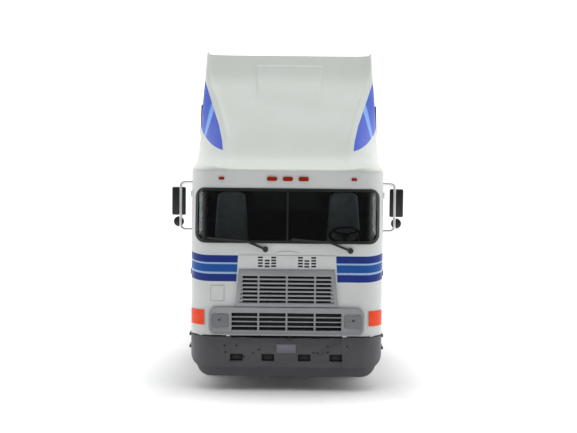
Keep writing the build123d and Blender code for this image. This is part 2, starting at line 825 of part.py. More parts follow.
# Mirrors: a chrome tube loop on either door, a flat mirror behind its stem and a small round one below
mirror_at = 11.0
mirror_tube = 0.42
mirror_stem = cab_half + 3.45
mirror_arm_high = door_high - 0.7
mirror_arm_low = screen_low + 3.1
mirror_bend = 1.2
mirror_width = 4.0
mirror_height = 8.2
mirror_centre = mirror_stem + 0.6
mirror_level = mirror_arm_high - 1.5 - mirror_height / 2
mirror_thick = 1.0
round_mirror_radius = 1.5
round_mirror_level = mirror_level - mirror_height / 2 - round_mirror_radius - 0.4


def side_loop(at, side, reach, low, high, bend, radius):
    """A tube that stands out from one side of the cab between two heights, its corners cut across."""
    with BuildPart() as made:
        with BuildLine(facing(at)) as path:
            Polyline(
                (side * cab_half, high),
                (side * (reach - bend), high),
                (side * reach, high - bend),
                (side * reach, low + bend),
                (side * (reach - bend), low),
                (side * cab_half, low),
            )
        with BuildSketch(Plane(origin=path.wires()[0] @ 0, z_dir=path.wires()[0] % 0)):
            Circle(radius)
        sweep(path=path.wires()[0], transition=Transition.RIGHT)
    return made.part


for name, side in (("mirror_bracket_left", 1), ("mirror_bracket_right", -1)):
    arms = (mirror_arm_low, mirror_arm_high)
    save(side_loop(mirror_at, side, mirror_stem, *arms, mirror_bend, mirror_tube), name)

with BuildPart() as mirrors:
    with BuildSketch(facing(mirror_at + mirror_tube)):
        with Locations((-mirror_centre, mirror_level), (mirror_centre, mirror_level)):
            RectangleRounded(mirror_width, mirror_height, 0.5)
        with Locations((-mirror_centre, round_mirror_level), (mirror_centre, round_mirror_level)):
            Circle(round_mirror_radius)
    extrude(amount=-mirror_thick)
save(mirrors.part, "mirrors")

# Grab handles behind the doors
handle_at = door_rear + 2.5
handle_tube = 0.35
handle_reach = cab_half + 1.9
handle_low = 32.0
handle_high = 42.0
handle_bend = 0.7
with BuildPart() as grab_handles:
    for side in (-1, 1):
        add(side_loop(handle_at, side, handle_reach, handle_low, handle_high, handle_bend, handle_tube))
save(grab_handles.part, "grab_handles")

# Inside the cab: dash, engine cover, steering wheel, seats and bunk, all standing on the floor
dash_half = cab_half - 8.75
dash_near = cab_inner_face + backing_thick + 0.3
dash_top = screen_low + 0.3
with BuildPart() as dashboard:
    with BuildSketch(Plane.YZ.offset(-dash_half)):
        with BuildLine():
            Polyline(
                (behind(dash_near), floor_top),
                (behind(dash_near + 1.9), floor_top),
                (behind(dash_near + 2.9), dash_top - 6.3),
                (behind(dash_near + 5.9), dash_top - 4.8),
                (behind(dash_near + 5.4), dash_top - 0.8),
                (behind(dash_near), dash_top),
                close=True,
            )
        make_face()
    extrude(amount=2 * dash_half)
save(dashboard.part, "dashboard")

bunk_near = cab_rear - 20.5
bunk_depth = 18.0
bunk_height = 5.0
bunk_inset = 0.3
mattress_inset = 1.0
mattress_height = 3.0
with BuildPart() as bunk:
    with Locations((0, behind(bunk_near + bunk_depth / 2), floor_top + bunk_height / 2)):
        Box(2 * (cab_inner_half - bunk_inset), bunk_depth, bunk_height)
    with Locations((0, behind(bunk_near + bunk_depth / 2), floor_top + bunk_height + mattress_height / 2)):
        Box(2 * (cab_inner_half - mattress_inset), bunk_depth - mattress_inset, mattress_height)
save(bunk.part, "bunk")

cover_half = 6.5
cover_height = 6.0
cover_corner = 1.5
cover_near = dash_near + 8.4
cover_far = bunk_near - 3.5
with BuildPart() as engine_cover:
    with BuildSketch(facing(cover_near)) as outline:
        with Locations((0, floor_top + cover_height / 2)):
            Rectangle(2 * cover_half, cover_height)
        fillet(outline.vertices().sort_by(Axis.Y)[-2:], cover_corner)
    extrude(amount=cover_near - cover_far)
save(engine_cover.part, "engine_cover")

seat_at = 25.0
seat_centre = cab_half - 10.75
seat_pad_size = 10.0
seat_pad_thick = 3.0
seat_pad_top = floor_top + 9.3
seat_pad_at = seat_at + 1.0 - seat_pad_size / 2
seat_post = 5.0
seat_back_thick = 2.4
seat_back_low_half = 5.3
seat_back_high_half = 4.2
seat_back_top = cab_roof - 6.8
seat_back_corner = 1.4
with BuildPart() as seats:
    for centre in (-seat_centre, seat_centre):
        with Locations((centre, behind(seat_pad_at), (floor_top + seat_pad_top) / 2)):
            Box(seat_post, seat_post, seat_pad_top - floor_top)
        with Locations((centre, behind(seat_pad_at), seat_pad_top - seat_pad_thick / 2)):
            Box(seat_pad_size, seat_pad_size, seat_pad_thick)
        with BuildSketch(facing(seat_at)) as outline:
            with BuildLine():
                Polyline(
                    (centre - seat_back_low_half, seat_pad_top - 1.0),
                    (centre + seat_back_low_half, seat_pad_top - 1.0),
                    (centre + seat_back_high_half, seat_back_top),
                    (centre - seat_back_high_half, seat_back_top),
                    close=True,
                )
            make_face()
            fillet(outline.vertices().group_by(Axis.Y)[-1], seat_back_corner)
        extrude(amount=-seat_back_thick)
save(seats.part, "seats")

# Steering wheel: a six-sided ring on one spoke, its hub and its column, which ends on the dash
wheel_radius = 4.5
wheel_tube = 0.45
wheel_hub_radius = 1.2
wheel_hub_height = 0.8
spoke_width = 0.7
column_radius = 0.7
column_length = 9.0
wheel_centre = (seat_centre, behind(dash_near + 9.9), dash_top + 1.2)
wheel_tilt = -35
with BuildPart() as steering_wheel:
    with BuildSketch(Plane(origin=wheel_centre, x_dir=(1, 0, 0), z_dir=(0, 1, 0))):
        with Locations((wheel_radius, 0)):
            RegularPolygon(wheel_tube, 6)
    revolve(axis=Axis(wheel_centre, (0, 0, 1)))
    with Locations(wheel_centre):
        Cylinder(wheel_hub_radius, wheel_hub_height)
        Box(2 * wheel_radius, spoke_width, wheel_tube)
    with BuildSketch(Plane(origin=wheel_centre)):
        Circle(column_radius)
    extrude(amount=-column_length)
with BuildPart() as steering:
    add(steering_wheel.part.rotate(Axis(wheel_centre, (1, 0, 0)), wheel_tilt))
    add(dashboard.part, mode=Mode.SUBTRACT)
save(steering.part, "steering_wheel")

# Engine and gearbox in outline between the rails, with lugs that sit in the channels
engine_half = 6.0
engine_near = 17.0
engine_far = 43.0
engine_low = axle_level + 3.0
engine_high = floor_under - 0.4
lug_at = 24.0
lug_depth = 4.0
lug_height = 3.0
shaft_level = axle_level + 2.6
shaft_radius = 0.9
bell_far = engine_far + 6.0
gearbox_end = cab_rear - 1.0
with BuildPart() as engine:
    add(block(0, engine_half, engine_near, engine_far, engine_low, engine_high))
    with Locations((0, behind(lug_at), (rail_bottom + rail_top) / 2)):
        Box(2 * web_inner, lug_depth, lug_height)
    with BuildSketch(facing(engine_far)):
        with Locations((0, shaft_level + 3.9)):
            RectangleRounded(9.0, 9.0, 2.0)
    extrude(amount=engine_far - bell_far)
    with BuildSketch(facing(bell_far)):
        with Locations((0, shaft_level + 2.4)):
            RectangleRounded(7.0, 7.0, 1.5)
    extrude(amount=bell_far - gearbox_end)
save(engine.part, "engine_and_gearbox")

# Front axle beam on the rod, with leaf springs that hang from the rails and rest on it
beam_half = front_tyre_inner - 1.8
beam_reach = 2.0
beam_rise = 2.0
with BuildPart() as front_axle_beam:
    with Locations((0, behind(front_axle_at), axle_level)):
        Box(2 * beam_half, 2 * beam_reach, 2 * beam_rise)
        Cylinder(rod_radius + rod_clearance, 2 * beam_half, rotation=(0, 90, 0), mode=Mode.SUBTRACT)
save(front_axle_beam.part, "front_axle_beam")

spring_half_in = rail_inner + 0.1
spring_half_out = rail_half_width - 0.2
spring_reach = 15.0
spring_thick = 1.2
spring_seat = axle_level + beam_rise
with BuildPart() as front_springs:
    with BuildSketch(Plane.YZ.offset(spring_half_in)):
        with BuildLine():
            Polyline(
                (behind(front_axle_at - beam_reach), spring_seat),
                (behind(front_axle_at + beam_reach), spring_seat),
                (behind(front_axle_at + spring_reach), rail_bottom - spring_thick),
                (behind(front_axle_at + spring_reach), rail_bottom),
                (behind(front_axle_at + spring_reach - 2.0), rail_bottom),
                (behind(front_axle_at + beam_reach), spring_seat + spring_thick),
                (behind(front_axle_at - beam_reach), spring_seat + spring_thick),
                (behind(front_axle_at - spring_reach + 2.0), rail_bottom),
                (behind(front_axle_at - spring_reach), rail_bottom),
                (behind(front_axle_at - spring_reach), rail_bottom - spring_thick),
                close=True,
            )
        make_face()
    extrude(amount=spring_half_out - spring_half_in)
    mirror(about=Plane.YZ)
save(front_springs.part, "front_springs")

# Drive axle housings on their rods, on a walking beam either side that hangs from a saddle on the rail
housing_radius = 2.2
banjo_radius = 4.2
banjo_half = 2.6
housing_half = inner_dual_inner - 0.8
nose_reach = 6.0
nose_radius = 1.6
with BuildPart() as housings:
    for axle_at in (drive_axle_1_at, drive_axle_2_at):
        with Locations((0, behind(axle_at), axle_level)):
            Cylinder(housing_radius, 2 * housing_half, rotation=(0, 90, 0))
            Cylinder(banjo_radius, 2 * banjo_half, rotation=(0, 90, 0))
        with BuildSketch(facing(axle_at - nose_reach)):
            with Locations((0, shaft_level)):
                Circle(nose_radius)
        extrude(amount=-nose_reach)
        with Locations((0, behind(axle_at), axle_level)):
            Cylinder(rod_radius + rod_clearance, 2 * housing_half, rotation=(0, 90, 0), mode=Mode.SUBTRACT)
save(housings.part, "drive_axle_housings")

with BuildPart() as prop_shafts:
    for near, far in (
        (gearbox_end, drive_axle_1_at - nose_reach),
        (drive_axle_1_at + banjo_radius - shaft_radius, drive_axle_2_at - nose_reach),
    ):
        with BuildSketch(facing(near)):
            with Locations((0, shaft_level)):
                Circle(shaft_radius)
        extrude(amount=near - far)
    add(housings.part, mode=Mode.SUBTRACT)
save(prop_shafts.part, "prop_shafts")

walker_width = 3.0
walker_out = inner_dual_inner - 1.1
walker_in = walker_out - walker_width
walker_lap = 3.0
walker_end_thick = 1.6
walker_thick = 2.8
walker_top = axle_level - housing_radius
saddle_half_low = 4.5
saddle_half_high = 2.8
saddle_thick = 2.4
with BuildPart() as walking_beams:
    with BuildSketch(Plane.YZ.offset(walker_in)):
        with BuildLine():
            Polyline(
                (behind(drive_axle_1_at - walker_lap), walker_top),
                (behind(drive_axle_2_at + walker_lap), walker_top),
                (behind(drive_axle_2_at + walker_lap), walker_top - walker_end_thick),
                (behind(bogie_at), walker_top - walker_thick),
                (behind(drive_axle_1_at - walker_lap), walker_top - walker_end_thick),
                close=True,
            )
        make_face()
        with BuildLine():
            Polyline(
                (behind(bogie_at - saddle_half_low), walker_top),
                (behind(bogie_at + saddle_half_low), walker_top),
                (behind(bogie_at + saddle_half_high), rail_bottom),
                (behind(bogie_at - saddle_half_high), rail_bottom),
                close=True,
            )
        make_face()
    extrude(amount=walker_width)
    with Locations(((rail_inner + walker_in) / 2, behind(bogie_at), rail_bottom - saddle_thick / 2)):
        Box(walker_in - rail_inner, 2 * saddle_half_high, saddle_thick)
    mirror(about=Plane.YZ)
save(walking_beams.part, "walking_beams")

# Fuel tanks along the rails between the front and drive wheels, each on two hangers
tank_radius = 6.2
tank_centre = 19.6
tank_level = 14.0
tank_near = cab_rear - 6.0
tank_far = drive_axle_1_at - 21.0
tank_edge = 0.8
cap_radius = 1.3
cap_height = 0.7
with BuildPart() as fuel_tanks:
    with BuildSketch(facing(tank_near)):
        with Locations((-tank_centre, tank_level), (tank_centre, tank_level)):
            Circle(tank_radius)
    extrude(amount=tank_near - tank_far)
    chamfer(fuel_tanks.edges().filter_by(GeomType.CIRCLE), tank_edge)
    cap_places = [(side * (tank_centre + 2.0), behind(tank_near + 6.0), tank_level) for side in (-1, 1)]
    with Locations(*cap_places):
        Cylinder(cap_radius, tank_radius + cap_height, align=(Align.CENTER, Align.CENTER, Align.MIN))
save(fuel_tanks.part, "fuel_tanks")

hanger_thick = 2.0
hanger_out = tank_centre - 2.0
hanger_low = rail_bottom - 4.0
hanger_high = rail_top - 1.5
with BuildPart() as tank_hangers:
    for near in (tank_near + 14.0, tank_far - 8.0):
        add(block(rail_half_width, hanger_out, near, near + hanger_thick, hanger_low, hanger_high))
    with BuildSketch(facing(tank_near)):
        with Locations((-tank_centre, tank_level), (tank_centre, tank_level)):
            Circle(tank_radius)
    extrude(amount=tank_near - tank_far, mode=Mode.SUBTRACT)
save(tank_hangers.part, "tank_hangers")

# Boxes ahead of the tanks, for the batteries and the tools
box_near = front_axle_at + tyre_radius + 6.0
box_far = tank_near - 2.5
box_out = cab_inner_half - 1.45
box_low = 9.5
box_high = 19.5
box_edge = 0.5
with BuildPart() as side_boxes:
    add(block(rail_half_width, box_out, box_near, box_far, box_low, box_high))
    chamfer(side_boxes.edges().filter_by(Axis.X), box_edge)
save(side_boxes.part, "side_boxes")

# Deck behind the cab, fifth wheel and its stand
deck_half = 13.0
deck_thick = 0.6
with BuildPart() as deck_plate:
    add(block(0, deck_half, cab_rear + 4.0, drive_axle_1_at - 14.0, rail_top, rail_top + deck_thick))
save(deck_plate.part, "deck_plate")

fifth_at = bogie_at - 3.0
fifth_radius = 10.4
fifth_under = rail_top + 4.3
fifth_thick = 1.5
throat_half = 4.5
kingpin_radius = 0.62
stand_out = 9.8
stand_half_low = 9.0
stand_half_high = 5.0
with BuildPart() as fifth_wheel_stand:
    with BuildSketch(Plane.YZ.offset(rail_inner)):
        with BuildLine():
            Polyline(
                (behind(fifth_at - stand_half_low), rail_top),
                (behind(fifth_at + stand_half_low), rail_top),
                (behind(fifth_at + stand_half_high), fifth_under),
                (behind(fifth_at - stand_half_high), fifth_under),
                close=True,
            )
        make_face()
    extrude(amount=stand_out - rail_inner)
    mirror(about=Plane.YZ)
    with Locations((0, behind(fifth_at), fifth_under - 2.6)):
        Box(2 * rail_inner, 3.0, 1.6)
save(fifth_wheel_stand.part, "fifth_wheel_stand")

with BuildPart() as fifth_wheel:
    with BuildSketch(Plane.XY.offset(fifth_under)):
        with Locations((0, behind(fifth_at))):
            Circle(fifth_radius)
            Circle(kingpin_radius, mode=Mode.SUBTRACT)
        with BuildLine():
            Polyline(
                (-kingpin_radius, behind(fifth_at + 2.0)),
                (kingpin_radius, behind(fifth_at + 2.0)),
                (throat_half, behind(fifth_at + fifth_radius + 1.0)),
                (-throat_half, behind(fifth_at + fifth_radius + 1.0)),
                close=True,
            )
        make_face(mode=Mode.SUBTRACT)
    extrude(amount=fifth_thick)
save(fifth_wheel.part, "fifth_wheel")

# Exhaust: an upright stack and silencer behind the cab, on a bracket from the right rail
stack_x = -20.5
stack_at = cab_rear + 4.5
stack_radius = 1.1
stack_low = rail_top - 0.5
stack_top = fairing_top - 5.0
silencer_radius = 2.3
silencer_low = 32.0
silencer_high = 64.0
upwards = (Align.CENTER, Align.CENTER, Align.MIN)
with BuildPart() as exhaust:
    with Locations((stack_x, behind(stack_at), stack_low)):
        Cylinder(stack_radius, stack_top - stack_low, align=upwards)
    with Locations((stack_x, behind(stack_at), silencer_low)):
        Cylinder(silencer_radius, silencer_high - silencer_low, align=upwards)
    with Locations(((stack_x - rail_half_width) / 2, behind(stack_at), rail_top - 1.0)):
        Box(-stack_x - rail_half_width, 2.0, 1.6)
save(exhaust.part, "exhaust")

# Rear: cross bar with lamps, and the flaps that hang from it
bar_half = dual_tyre_outer - 0.3
bar_high = rail_top - 3.0
bar_low = bar_high - 2.9
bar_depth = 1.6
flap_near = rail_end + 0.4
flap_thick = 0.8
flap_low = 3.2
tail_lamp_radius = 1.0
tail_lamp_places = (-12.0, -6.0, 6.0, 12.0)
with BuildPart() as rear_bar:
    add(block(0, bar_half, rail_end, rail_end + bar_depth, bar_low, bar_high))
save(rear_bar.part, "rear_bar")
with BuildPart() as mud_flaps:
    add(block(inner_dual_inner, bar_half, flap_near, flap_near + flap_thick, flap_low, bar_low))
save(mud_flaps.part, "mud_flaps")
with BuildPart() as tail_lamps:
    with BuildSketch(facing(rail_end + bar_depth)):
        with Locations(*[(place, (bar_low + bar_high) / 2) for place in tail_lamp_places]):
            Circle(tail_lamp_radius)
    extrude(amount=rail_end + bar_depth - overall_length)
save(tail_lamps.part, "tail_lamps")
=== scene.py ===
"""Looks of a 1:43 scale model of a cab-over sleeper tractor unit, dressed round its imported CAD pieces."""

import logging
import math
from dataclasses import dataclass, replace
from enum import Enum
from typing import Callable, Dict, List, Sequence, Tuple, Union

import bpy
from mathutils import Euler, Matrix, Vector


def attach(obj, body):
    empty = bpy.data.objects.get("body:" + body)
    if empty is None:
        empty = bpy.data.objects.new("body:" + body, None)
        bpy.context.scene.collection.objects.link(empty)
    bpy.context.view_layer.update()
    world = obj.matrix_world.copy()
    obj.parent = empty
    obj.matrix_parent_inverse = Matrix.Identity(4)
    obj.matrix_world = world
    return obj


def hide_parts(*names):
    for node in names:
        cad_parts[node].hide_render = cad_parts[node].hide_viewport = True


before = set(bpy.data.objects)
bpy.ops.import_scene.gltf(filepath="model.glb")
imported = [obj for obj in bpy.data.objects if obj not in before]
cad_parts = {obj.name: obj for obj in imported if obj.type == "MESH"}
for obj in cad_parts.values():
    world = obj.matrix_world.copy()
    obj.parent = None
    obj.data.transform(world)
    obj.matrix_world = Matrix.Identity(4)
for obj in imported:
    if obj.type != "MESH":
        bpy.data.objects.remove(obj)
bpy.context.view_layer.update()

LOG = logging.getLogger("tractor_unit")
Colour = Tuple[float, float, float]
Point = Tuple[float, float, float]
Pair = Tuple[float, float]
Socket = bpy.types.NodeSocket
Value = Union[bpy.types.NodeSocket, float]
Piece = bpy.types.Object

# Lengths in metres, and sizes in millimetres that several pieces share

MM = 0.001
TINY = 1e-6
FRONT_Y = -84.5
CAB_HALF = 27.75
CAB_REAR = 67.0
AXLE_LEVEL = 12.0
FRONT_AXLE = 31.0
DRIVE_AXLES = (119.0, 151.0)
BEYOND = 140.0


class Body(str, Enum):
    """The bodies of the frame that pieces ride on."""

    CHASSIS = "chassis"
    FRONT_WHEELS = "front_wheels"
    DRIVE_WHEELS_1 = "drive_wheels_1"
    DRIVE_WHEELS_2 = "drive_wheels_2"


class Lay(Enum):
    """The directions that a primitive's own axis can be laid along."""

    X = (0.0, math.pi / 2, 0.0)
    Y = (math.pi / 2, 0.0, 0.0)
    Z = (0.0, 0.0, 0.0)


class Kind(str, Enum):
    """What is picked in edit mode."""

    FACES = "FACE"
    EDGES = "EDGE"


def place(x: float, behind: float, z: float) -> Vector:
    """A point in metres from X, the distance behind the bumper's face and the height, in millimetres."""
    return Vector((x * MM, (behind + FRONT_Y) * MM, z * MM))


def tone(red: int, green: int, blue: int) -> Colour:
    """Turn a colour as seen on a screen, each part from 0 to 255, into the linear one that shaders take."""
    parts = (red, green, blue)
    return tuple(((c / 255 + 0.055) / 1.055) ** 2.4 if c > 10 else c / 255 / 12.92 for c in parts)


# Finishes


class Sheet:
    """A node sheet for one finish, with short calls for the nodes that the finishes share.

    Attributes:
        table_top: The highest value that a looked-up table can hold, in millimetres.
    """

    table_top = 200.0

    def __init__(self, material: bpy.types.Material) -> None:
        """Open a material's sheet.

        Args:
            material: The material, whose nodes hold a principled shader.
        """
        self.material = material
        self.material.use_nodes = True
        self.nodes = self.material.node_tree.nodes
        self.links = self.material.node_tree.links
        self.shader = self.nodes["Principled BSDF"]
        self.coordinates = self.nodes.new("ShaderNodeTexCoord")

    def set(self, **values: object) -> None:
        """Set sockets of the shader by name, with underscores for the spaces."""
        for name, value in values.items():
            self.shader.inputs[name.replace("_", " ")].default_value = value

    def join(self, source: Socket, target: Socket) -> None:
        """Link one socket to another."""
        self.links.new(source, target)

    def noise(self, scale: float, detail: float = 3.0, stretch: Point = (1.0, 1.0, 1.0)) -> Socket:
        """Noise on the object's own coordinates.

        Args:
            scale: Waves per metre.
            detail: Octaves of finer noise.
            stretch: How much finer the noise is along each axis.

        Returns:
            The socket of the noise's strength, from 0 to 1.
        """
        mapping = self.nodes.new("ShaderNodeMapping")
        mapping.inputs["Scale"].default_value = stretch
        self.join(self.coordinates.outputs["Object"], mapping.inputs["Vector"])
        texture = self.nodes.new("ShaderNodeTexNoise")
        texture.inputs["Scale"].default_value = scale
        texture.inputs["Detail"].default_value = detail
        self.join(mapping.outputs["Vector"], texture.inputs["Vector"])
        return texture.outputs["Fac"]

    def span(self, value: Socket, low: float, high: float, start: float = 0.3, end: float = 0.7) -> Socket:
        """Spread a value between two limits.

        Args:
            value: The value that is spread.
            low: The result at the value's start.
            high: The result at the value's end.
            start: The value's start.
            end: The value's end.

        Returns:
            The socket of the result.
        """
        node = self.nodes.new("ShaderNodeMapRange")
        for name, number in (("From Min", start), ("From Max", end), ("To Min", low), ("To Max", high)):
            node.inputs[name].default_value = number
        self.join(value, node.inputs["Value"])
        return node.outputs["Result"]

    def sum(self, operation: str, first: Value, second: Value = 0.0) -> Socket:
        """One step of arithmetic.

        Args:
            operation: The operation, as a Math node names it.
            first: A socket or a number.
            second: A socket or a number.

        Returns:
            The socket of the result.
        """
        node = self.nodes.new("ShaderNodeMath")
        node.operation = operation
        for socket, value in zip(node.inputs, (first, second)):
            if isinstance(value, (int, float)):
                socket.default_value = value
            else:
                self.join(value, socket)
        return node.outputs["Value"]

    def product(self, first: Value, second: Value) -> Socket:
        """Two values multiplied."""
        return self.sum("MULTIPLY", first, second)

    def axes(self) -> Tuple[Socket, Socket, Socket]:
        """Split the object's own coordinates.

        Returns:
            The sockets of X, Y and Z, in millimetres.
        """
        split = self.nodes.new("ShaderNodeSeparateXYZ")
        self.join(self.coordinates.outputs["Object"], split.inputs["Vector"])
        return tuple(self.product(split.outputs[axis], 1 / MM) for axis in "XYZ")

    def between(self, value: Socket, low: Value, high: Value, soft: float = 0.06) -> Socket:
        """Mark where a value lies between two limits.

        Args:
            value: The value, in millimetres.
            low: The lower limit.
            high: The upper limit.
            soft: Half the width of the limits' soft edges.

        Returns:
            The socket of the mark, 1 between the limits and 0 elsewhere.
        """
        above = self.span(self.sum("SUBTRACT", value, low), 0.0, 1.0, -soft, soft)
        below = self.span(self.sum("SUBTRACT", high, value), 0.0, 1.0, -soft, soft)
        return self.product(above, below)

    def curve(self, value: Socket, points: Sequence[Pair]) -> Socket:
        """Read a value from a short table of points by straight lines between them.

        Args:
            value: The socket that is looked up, in millimetres.
            points: The table, as pairs of where and how much, in millimetres up to the table's top.

        Returns:
            The socket of the value read, in millimetres.
        """
        first, last = points[0][0], points[-1][0]
        ramp = self.nodes.new("ShaderNodeValToRGB")
        ramp.color_ramp.interpolation = "LINEAR"
        while len(ramp.color_ramp.elements) < len(points):
            ramp.color_ramp.elements.new(0.5)
        for element, (where, _) in zip(ramp.color_ramp.elements, points):
            element.position = (where - first) / (last - first)
        for element, (_, amount) in zip(ramp.color_ramp.elements, points):
            element.color = (*[amount / self.table_top] * 3, 1.0)
        self.join(self.span(value, 0.0, 1.0, first, last), ramp.inputs["Fac"])
        return self.product(ramp.outputs["Color"], self.table_top)

    def blend(self, share: Socket, under: Union[Socket, Colour], over: Union[Socket, Colour]) -> Socket:
        """Lay one colour over another.

        Args:
            share: How much of the upper colour shows, from 0 to 1.
            under: The lower colour.
            over: The upper colour.

        Returns:
            The socket of the mixed colour.
        """
        node = self.nodes.new("ShaderNodeMix")
        node.data_type = "RGBA"
        self.join(share, node.inputs["Factor"])
        for name, colour in (("A", under), ("B", over)):
            socket = [s for s in node.inputs if s.name == name and s.type == "RGBA"][0]
            if isinstance(colour, tuple):
                socket.default_value = (*colour, 1.0)
            else:
                self.join(colour, socket)
        return [s for s in node.outputs if s.type == "RGBA"][0]

    def bump(self, height: Socket, strength: float, distance: float) -> None:
        """Raise the surface.

        Args:
            height: The share of the distance, from 0 to 1.
            strength: The strength of the whole effect.
            distance: How far the surface rises, in millimetres.
        """
        node = self.nodes.new("ShaderNodeBump")
        node.inputs["Strength"].default_value = strength
        node.inputs["Distance"].default_value = distance * MM
        self.join(height, node.inputs["Height"])
        self.join(node.outputs["Normal"], self.shader.inputs["Normal"])


@dataclass(frozen=True)
class Plastic:
    """Moulded or painted plastic, faintly uneven in colour and gloss, with a fine grain.

    Attributes:
        name: The finish's name.
        colour: Its main colour.
        shade: The colour of its darker patches.
        gloss: Its lowest and highest roughness.
        coat: The strength of a clear lacquer over it.
        grain: The height of its grain in millimetres.
        grain_scale: The grain's waves per metre.
        shine: The strength of its own reflection, 0.5 for common plastic.
        patches: Waves per metre of the darker patches.
        wear: Waves per metre of the uneven gloss.
    """

    name: str
    colour: Colour
    shade: Colour
    gloss: Pair = (0.35, 0.5)
    coat: float = 0.0
    grain: float = 0.01
    grain_scale: float = 4000.0
    shine: float = 0.5
    patches: float = 90.0
    wear: float = 300.0

    def base(self, sheet: Sheet) -> Socket:
        """The colour before any marking."""
        return sheet.blend(sheet.span(sheet.noise(self.patches, 4.0), 0.0, 1.0), self.colour, self.shade)

    def make(self) -> bpy.types.Material:
        """Lay the finish out on a sheet of its own.

        Returns:
            The material.
        """
        sheet = Sheet(bpy.data.materials.new(self.name))
        sheet.join(self.base(sheet), sheet.shader.inputs["Base Color"])
        sheet.join(sheet.span(sheet.noise(self.wear, 5.0), *self.gloss), sheet.shader.inputs["Roughness"])
        sheet.set(Coat_Weight=self.coat, Coat_Roughness=0.06, Specular_IOR_Level=self.shine)
        sheet.bump(sheet.noise(self.grain_scale, 4.0), 0.3, self.grain)
        return sheet.material


@dataclass(frozen=True)
class Stripe:
    """One band of the stripes round the cab, between two heights in millimetres."""

    low: float
    high: float
    colour: Colour


@dataclass(frozen=True)
class InteriorShade:
    """Painted shade on the inside of the cab's white shell, as a narrow space ahead and a wide one behind
    it.

    Attributes:
        start: Where the narrow space starts behind the bumper's face.
        narrow: Its half-width.
        widens: Where the wide space starts.
        wide: Its half-width.
        end: Where it ends.
        low: The height of both spaces' floor.
        high: The height of their ceiling.
        colour: The painted shade's colour.
    """

    start: float = 4.6
    narrow: float = 19.0
    widens: float = 10.0
    wide: float = 26.6
    end: float = CAB_REAR - 1.1
    low: float = 28.0
    high: float = 61.9
    colour: Colour = tone(20, 20, 22)

    def mask(self, sheet: Sheet, across: Socket, behind: Socket, level: Socket) -> Socket:
        """Mark the space whose inside walls get the painted shade.

        Args:
            sheet: The sheet of the paint that gets the painted shade.
            across: The distance from the middle.
            behind: The distance behind the bumper's face.
            level: The height.

        Returns:
            The socket of the mark, 1 inside the cab.
        """
        spaces = []
        for start, end, half in (
            (self.start, self.widens + 1.0, self.narrow),
            (self.widens, self.end, self.wide),
        ):
            along = sheet.between(behind, start, end)
            spaces.append(sheet.product(sheet.between(across, -BEYOND, half), along))
        return sheet.product(sheet.sum("MAXIMUM", *spaces), sheet.between(level, self.low, self.high))


@dataclass(frozen=True)
class StripedPaint(Plastic):
    """The cab's white paint, with bands of stripes that run from beside the grille round both sides, and
    painted shade on the shell's inside.

    Attributes:
        stripes: The bands, from the top down.
        inner: Where the bands end beside the grille, at their foot and at their head.
        reach: How far behind the bumper's face the bands run on the sides.
        rise: How far the bands rise round the corners.
        bend: Where that rise starts and ends behind the bumper's face.
        interior_shade: Painted shade on the inside of the cab.
    """

    stripes: Tuple[Stripe, ...] = ()
    inner: Pair = (14.4, 13.95)
    reach: float = 66.5
    rise: float = 1.0
    bend: Pair = (1.5, 9.0)
    interior_shade: InteriorShade = InteriorShade()

    def base(self, sheet: Sheet) -> Socket:
        """Lay the bands and the painted shade inside the cab over the white.

        Args:
            sheet: The sheet of this paint.

        Returns:
            The socket of the colour.
        """
        colour = super().base(sheet)
        x, y, z = sheet.axes()
        sideways = sheet.sum("ABSOLUTE", x)
        behind = sheet.sum("SUBTRACT", y, FRONT_Y)
        level = sheet.sum("SUBTRACT", z, sheet.span(behind, 0.0, self.rise, *self.bend))
        edge = sheet.span(level, *self.inner, self.stripes[-1].low, self.stripes[0].high)
        across = sheet.between(sideways, edge, BEYOND)
        painted = sheet.product(across, sheet.between(behind, -BEYOND, self.reach))
        for stripe in self.stripes:
            mask = sheet.product(painted, sheet.between(level, stripe.low, stripe.high))
            colour = sheet.blend(mask, colour, stripe.colour)
        # Painted shade: the shell's inside walls are darkened where the inside of the cab lies in shade.
        return sheet.blend(self.interior_shade.mask(sheet, sideways, behind, z), colour, self.interior_shade.colour)


@dataclass(frozen=True)
class DecalPaint(Plastic):
    """The fairing's paint, with a blue leaf on each shoulder that follows the ridge.

    Attributes:
        ridge: Half-widths of the ridge's outer margin by distance behind the bumper.
        foot: Heights of the leaf's lower edge by distance behind the bumper.
        tail: Where the leaf ends behind the bumper.
        lean: How far back the streaks lean for each millimetre up.
        light: Start, end and softness of the light streak, across the lean.
        dark: Start, end and softness of the dark streak.
        blues: The leaf's main, darker and lighter blue.
    """

    ridge: Tuple[Pair, ...] = ()
    foot: Tuple[Pair, ...] = ()
    tail: float = 61.0
    lean: float = 0.8
    light: Point = (24.0, 26.0, 0.3)
    dark: Point = (12.0, 17.0, 2.0)
    blues: Tuple[Colour, ...] = ()

    def base(self, sheet: Sheet) -> Socket:
        """Lay the leaves over the pale paint.

        Args:
            sheet: The sheet of this paint.

        Returns:
            The socket of the colour.
        """
        x, y, z = sheet.axes()
        behind = sheet.sum("SUBTRACT", y, FRONT_Y)
        across = sheet.between(sheet.sum("ABSOLUTE", x), sheet.curve(behind, self.ridge), BEYOND)
        above = sheet.between(z, sheet.curve(behind, self.foot), BEYOND)
        along = sheet.between(behind, self.foot[0][0], self.tail)
        leaf = sheet.product(sheet.product(across, above), along)
        lean = sheet.sum("SUBTRACT", sheet.product(z, self.lean), behind)
        main, darker, lighter = self.blues
        blue = sheet.blend(sheet.between(lean, *self.dark), main, darker)
        blue = sheet.blend(sheet.between(lean, *self.light), blue, lighter)
        return sheet.blend(leaf, super().base(sheet), blue)


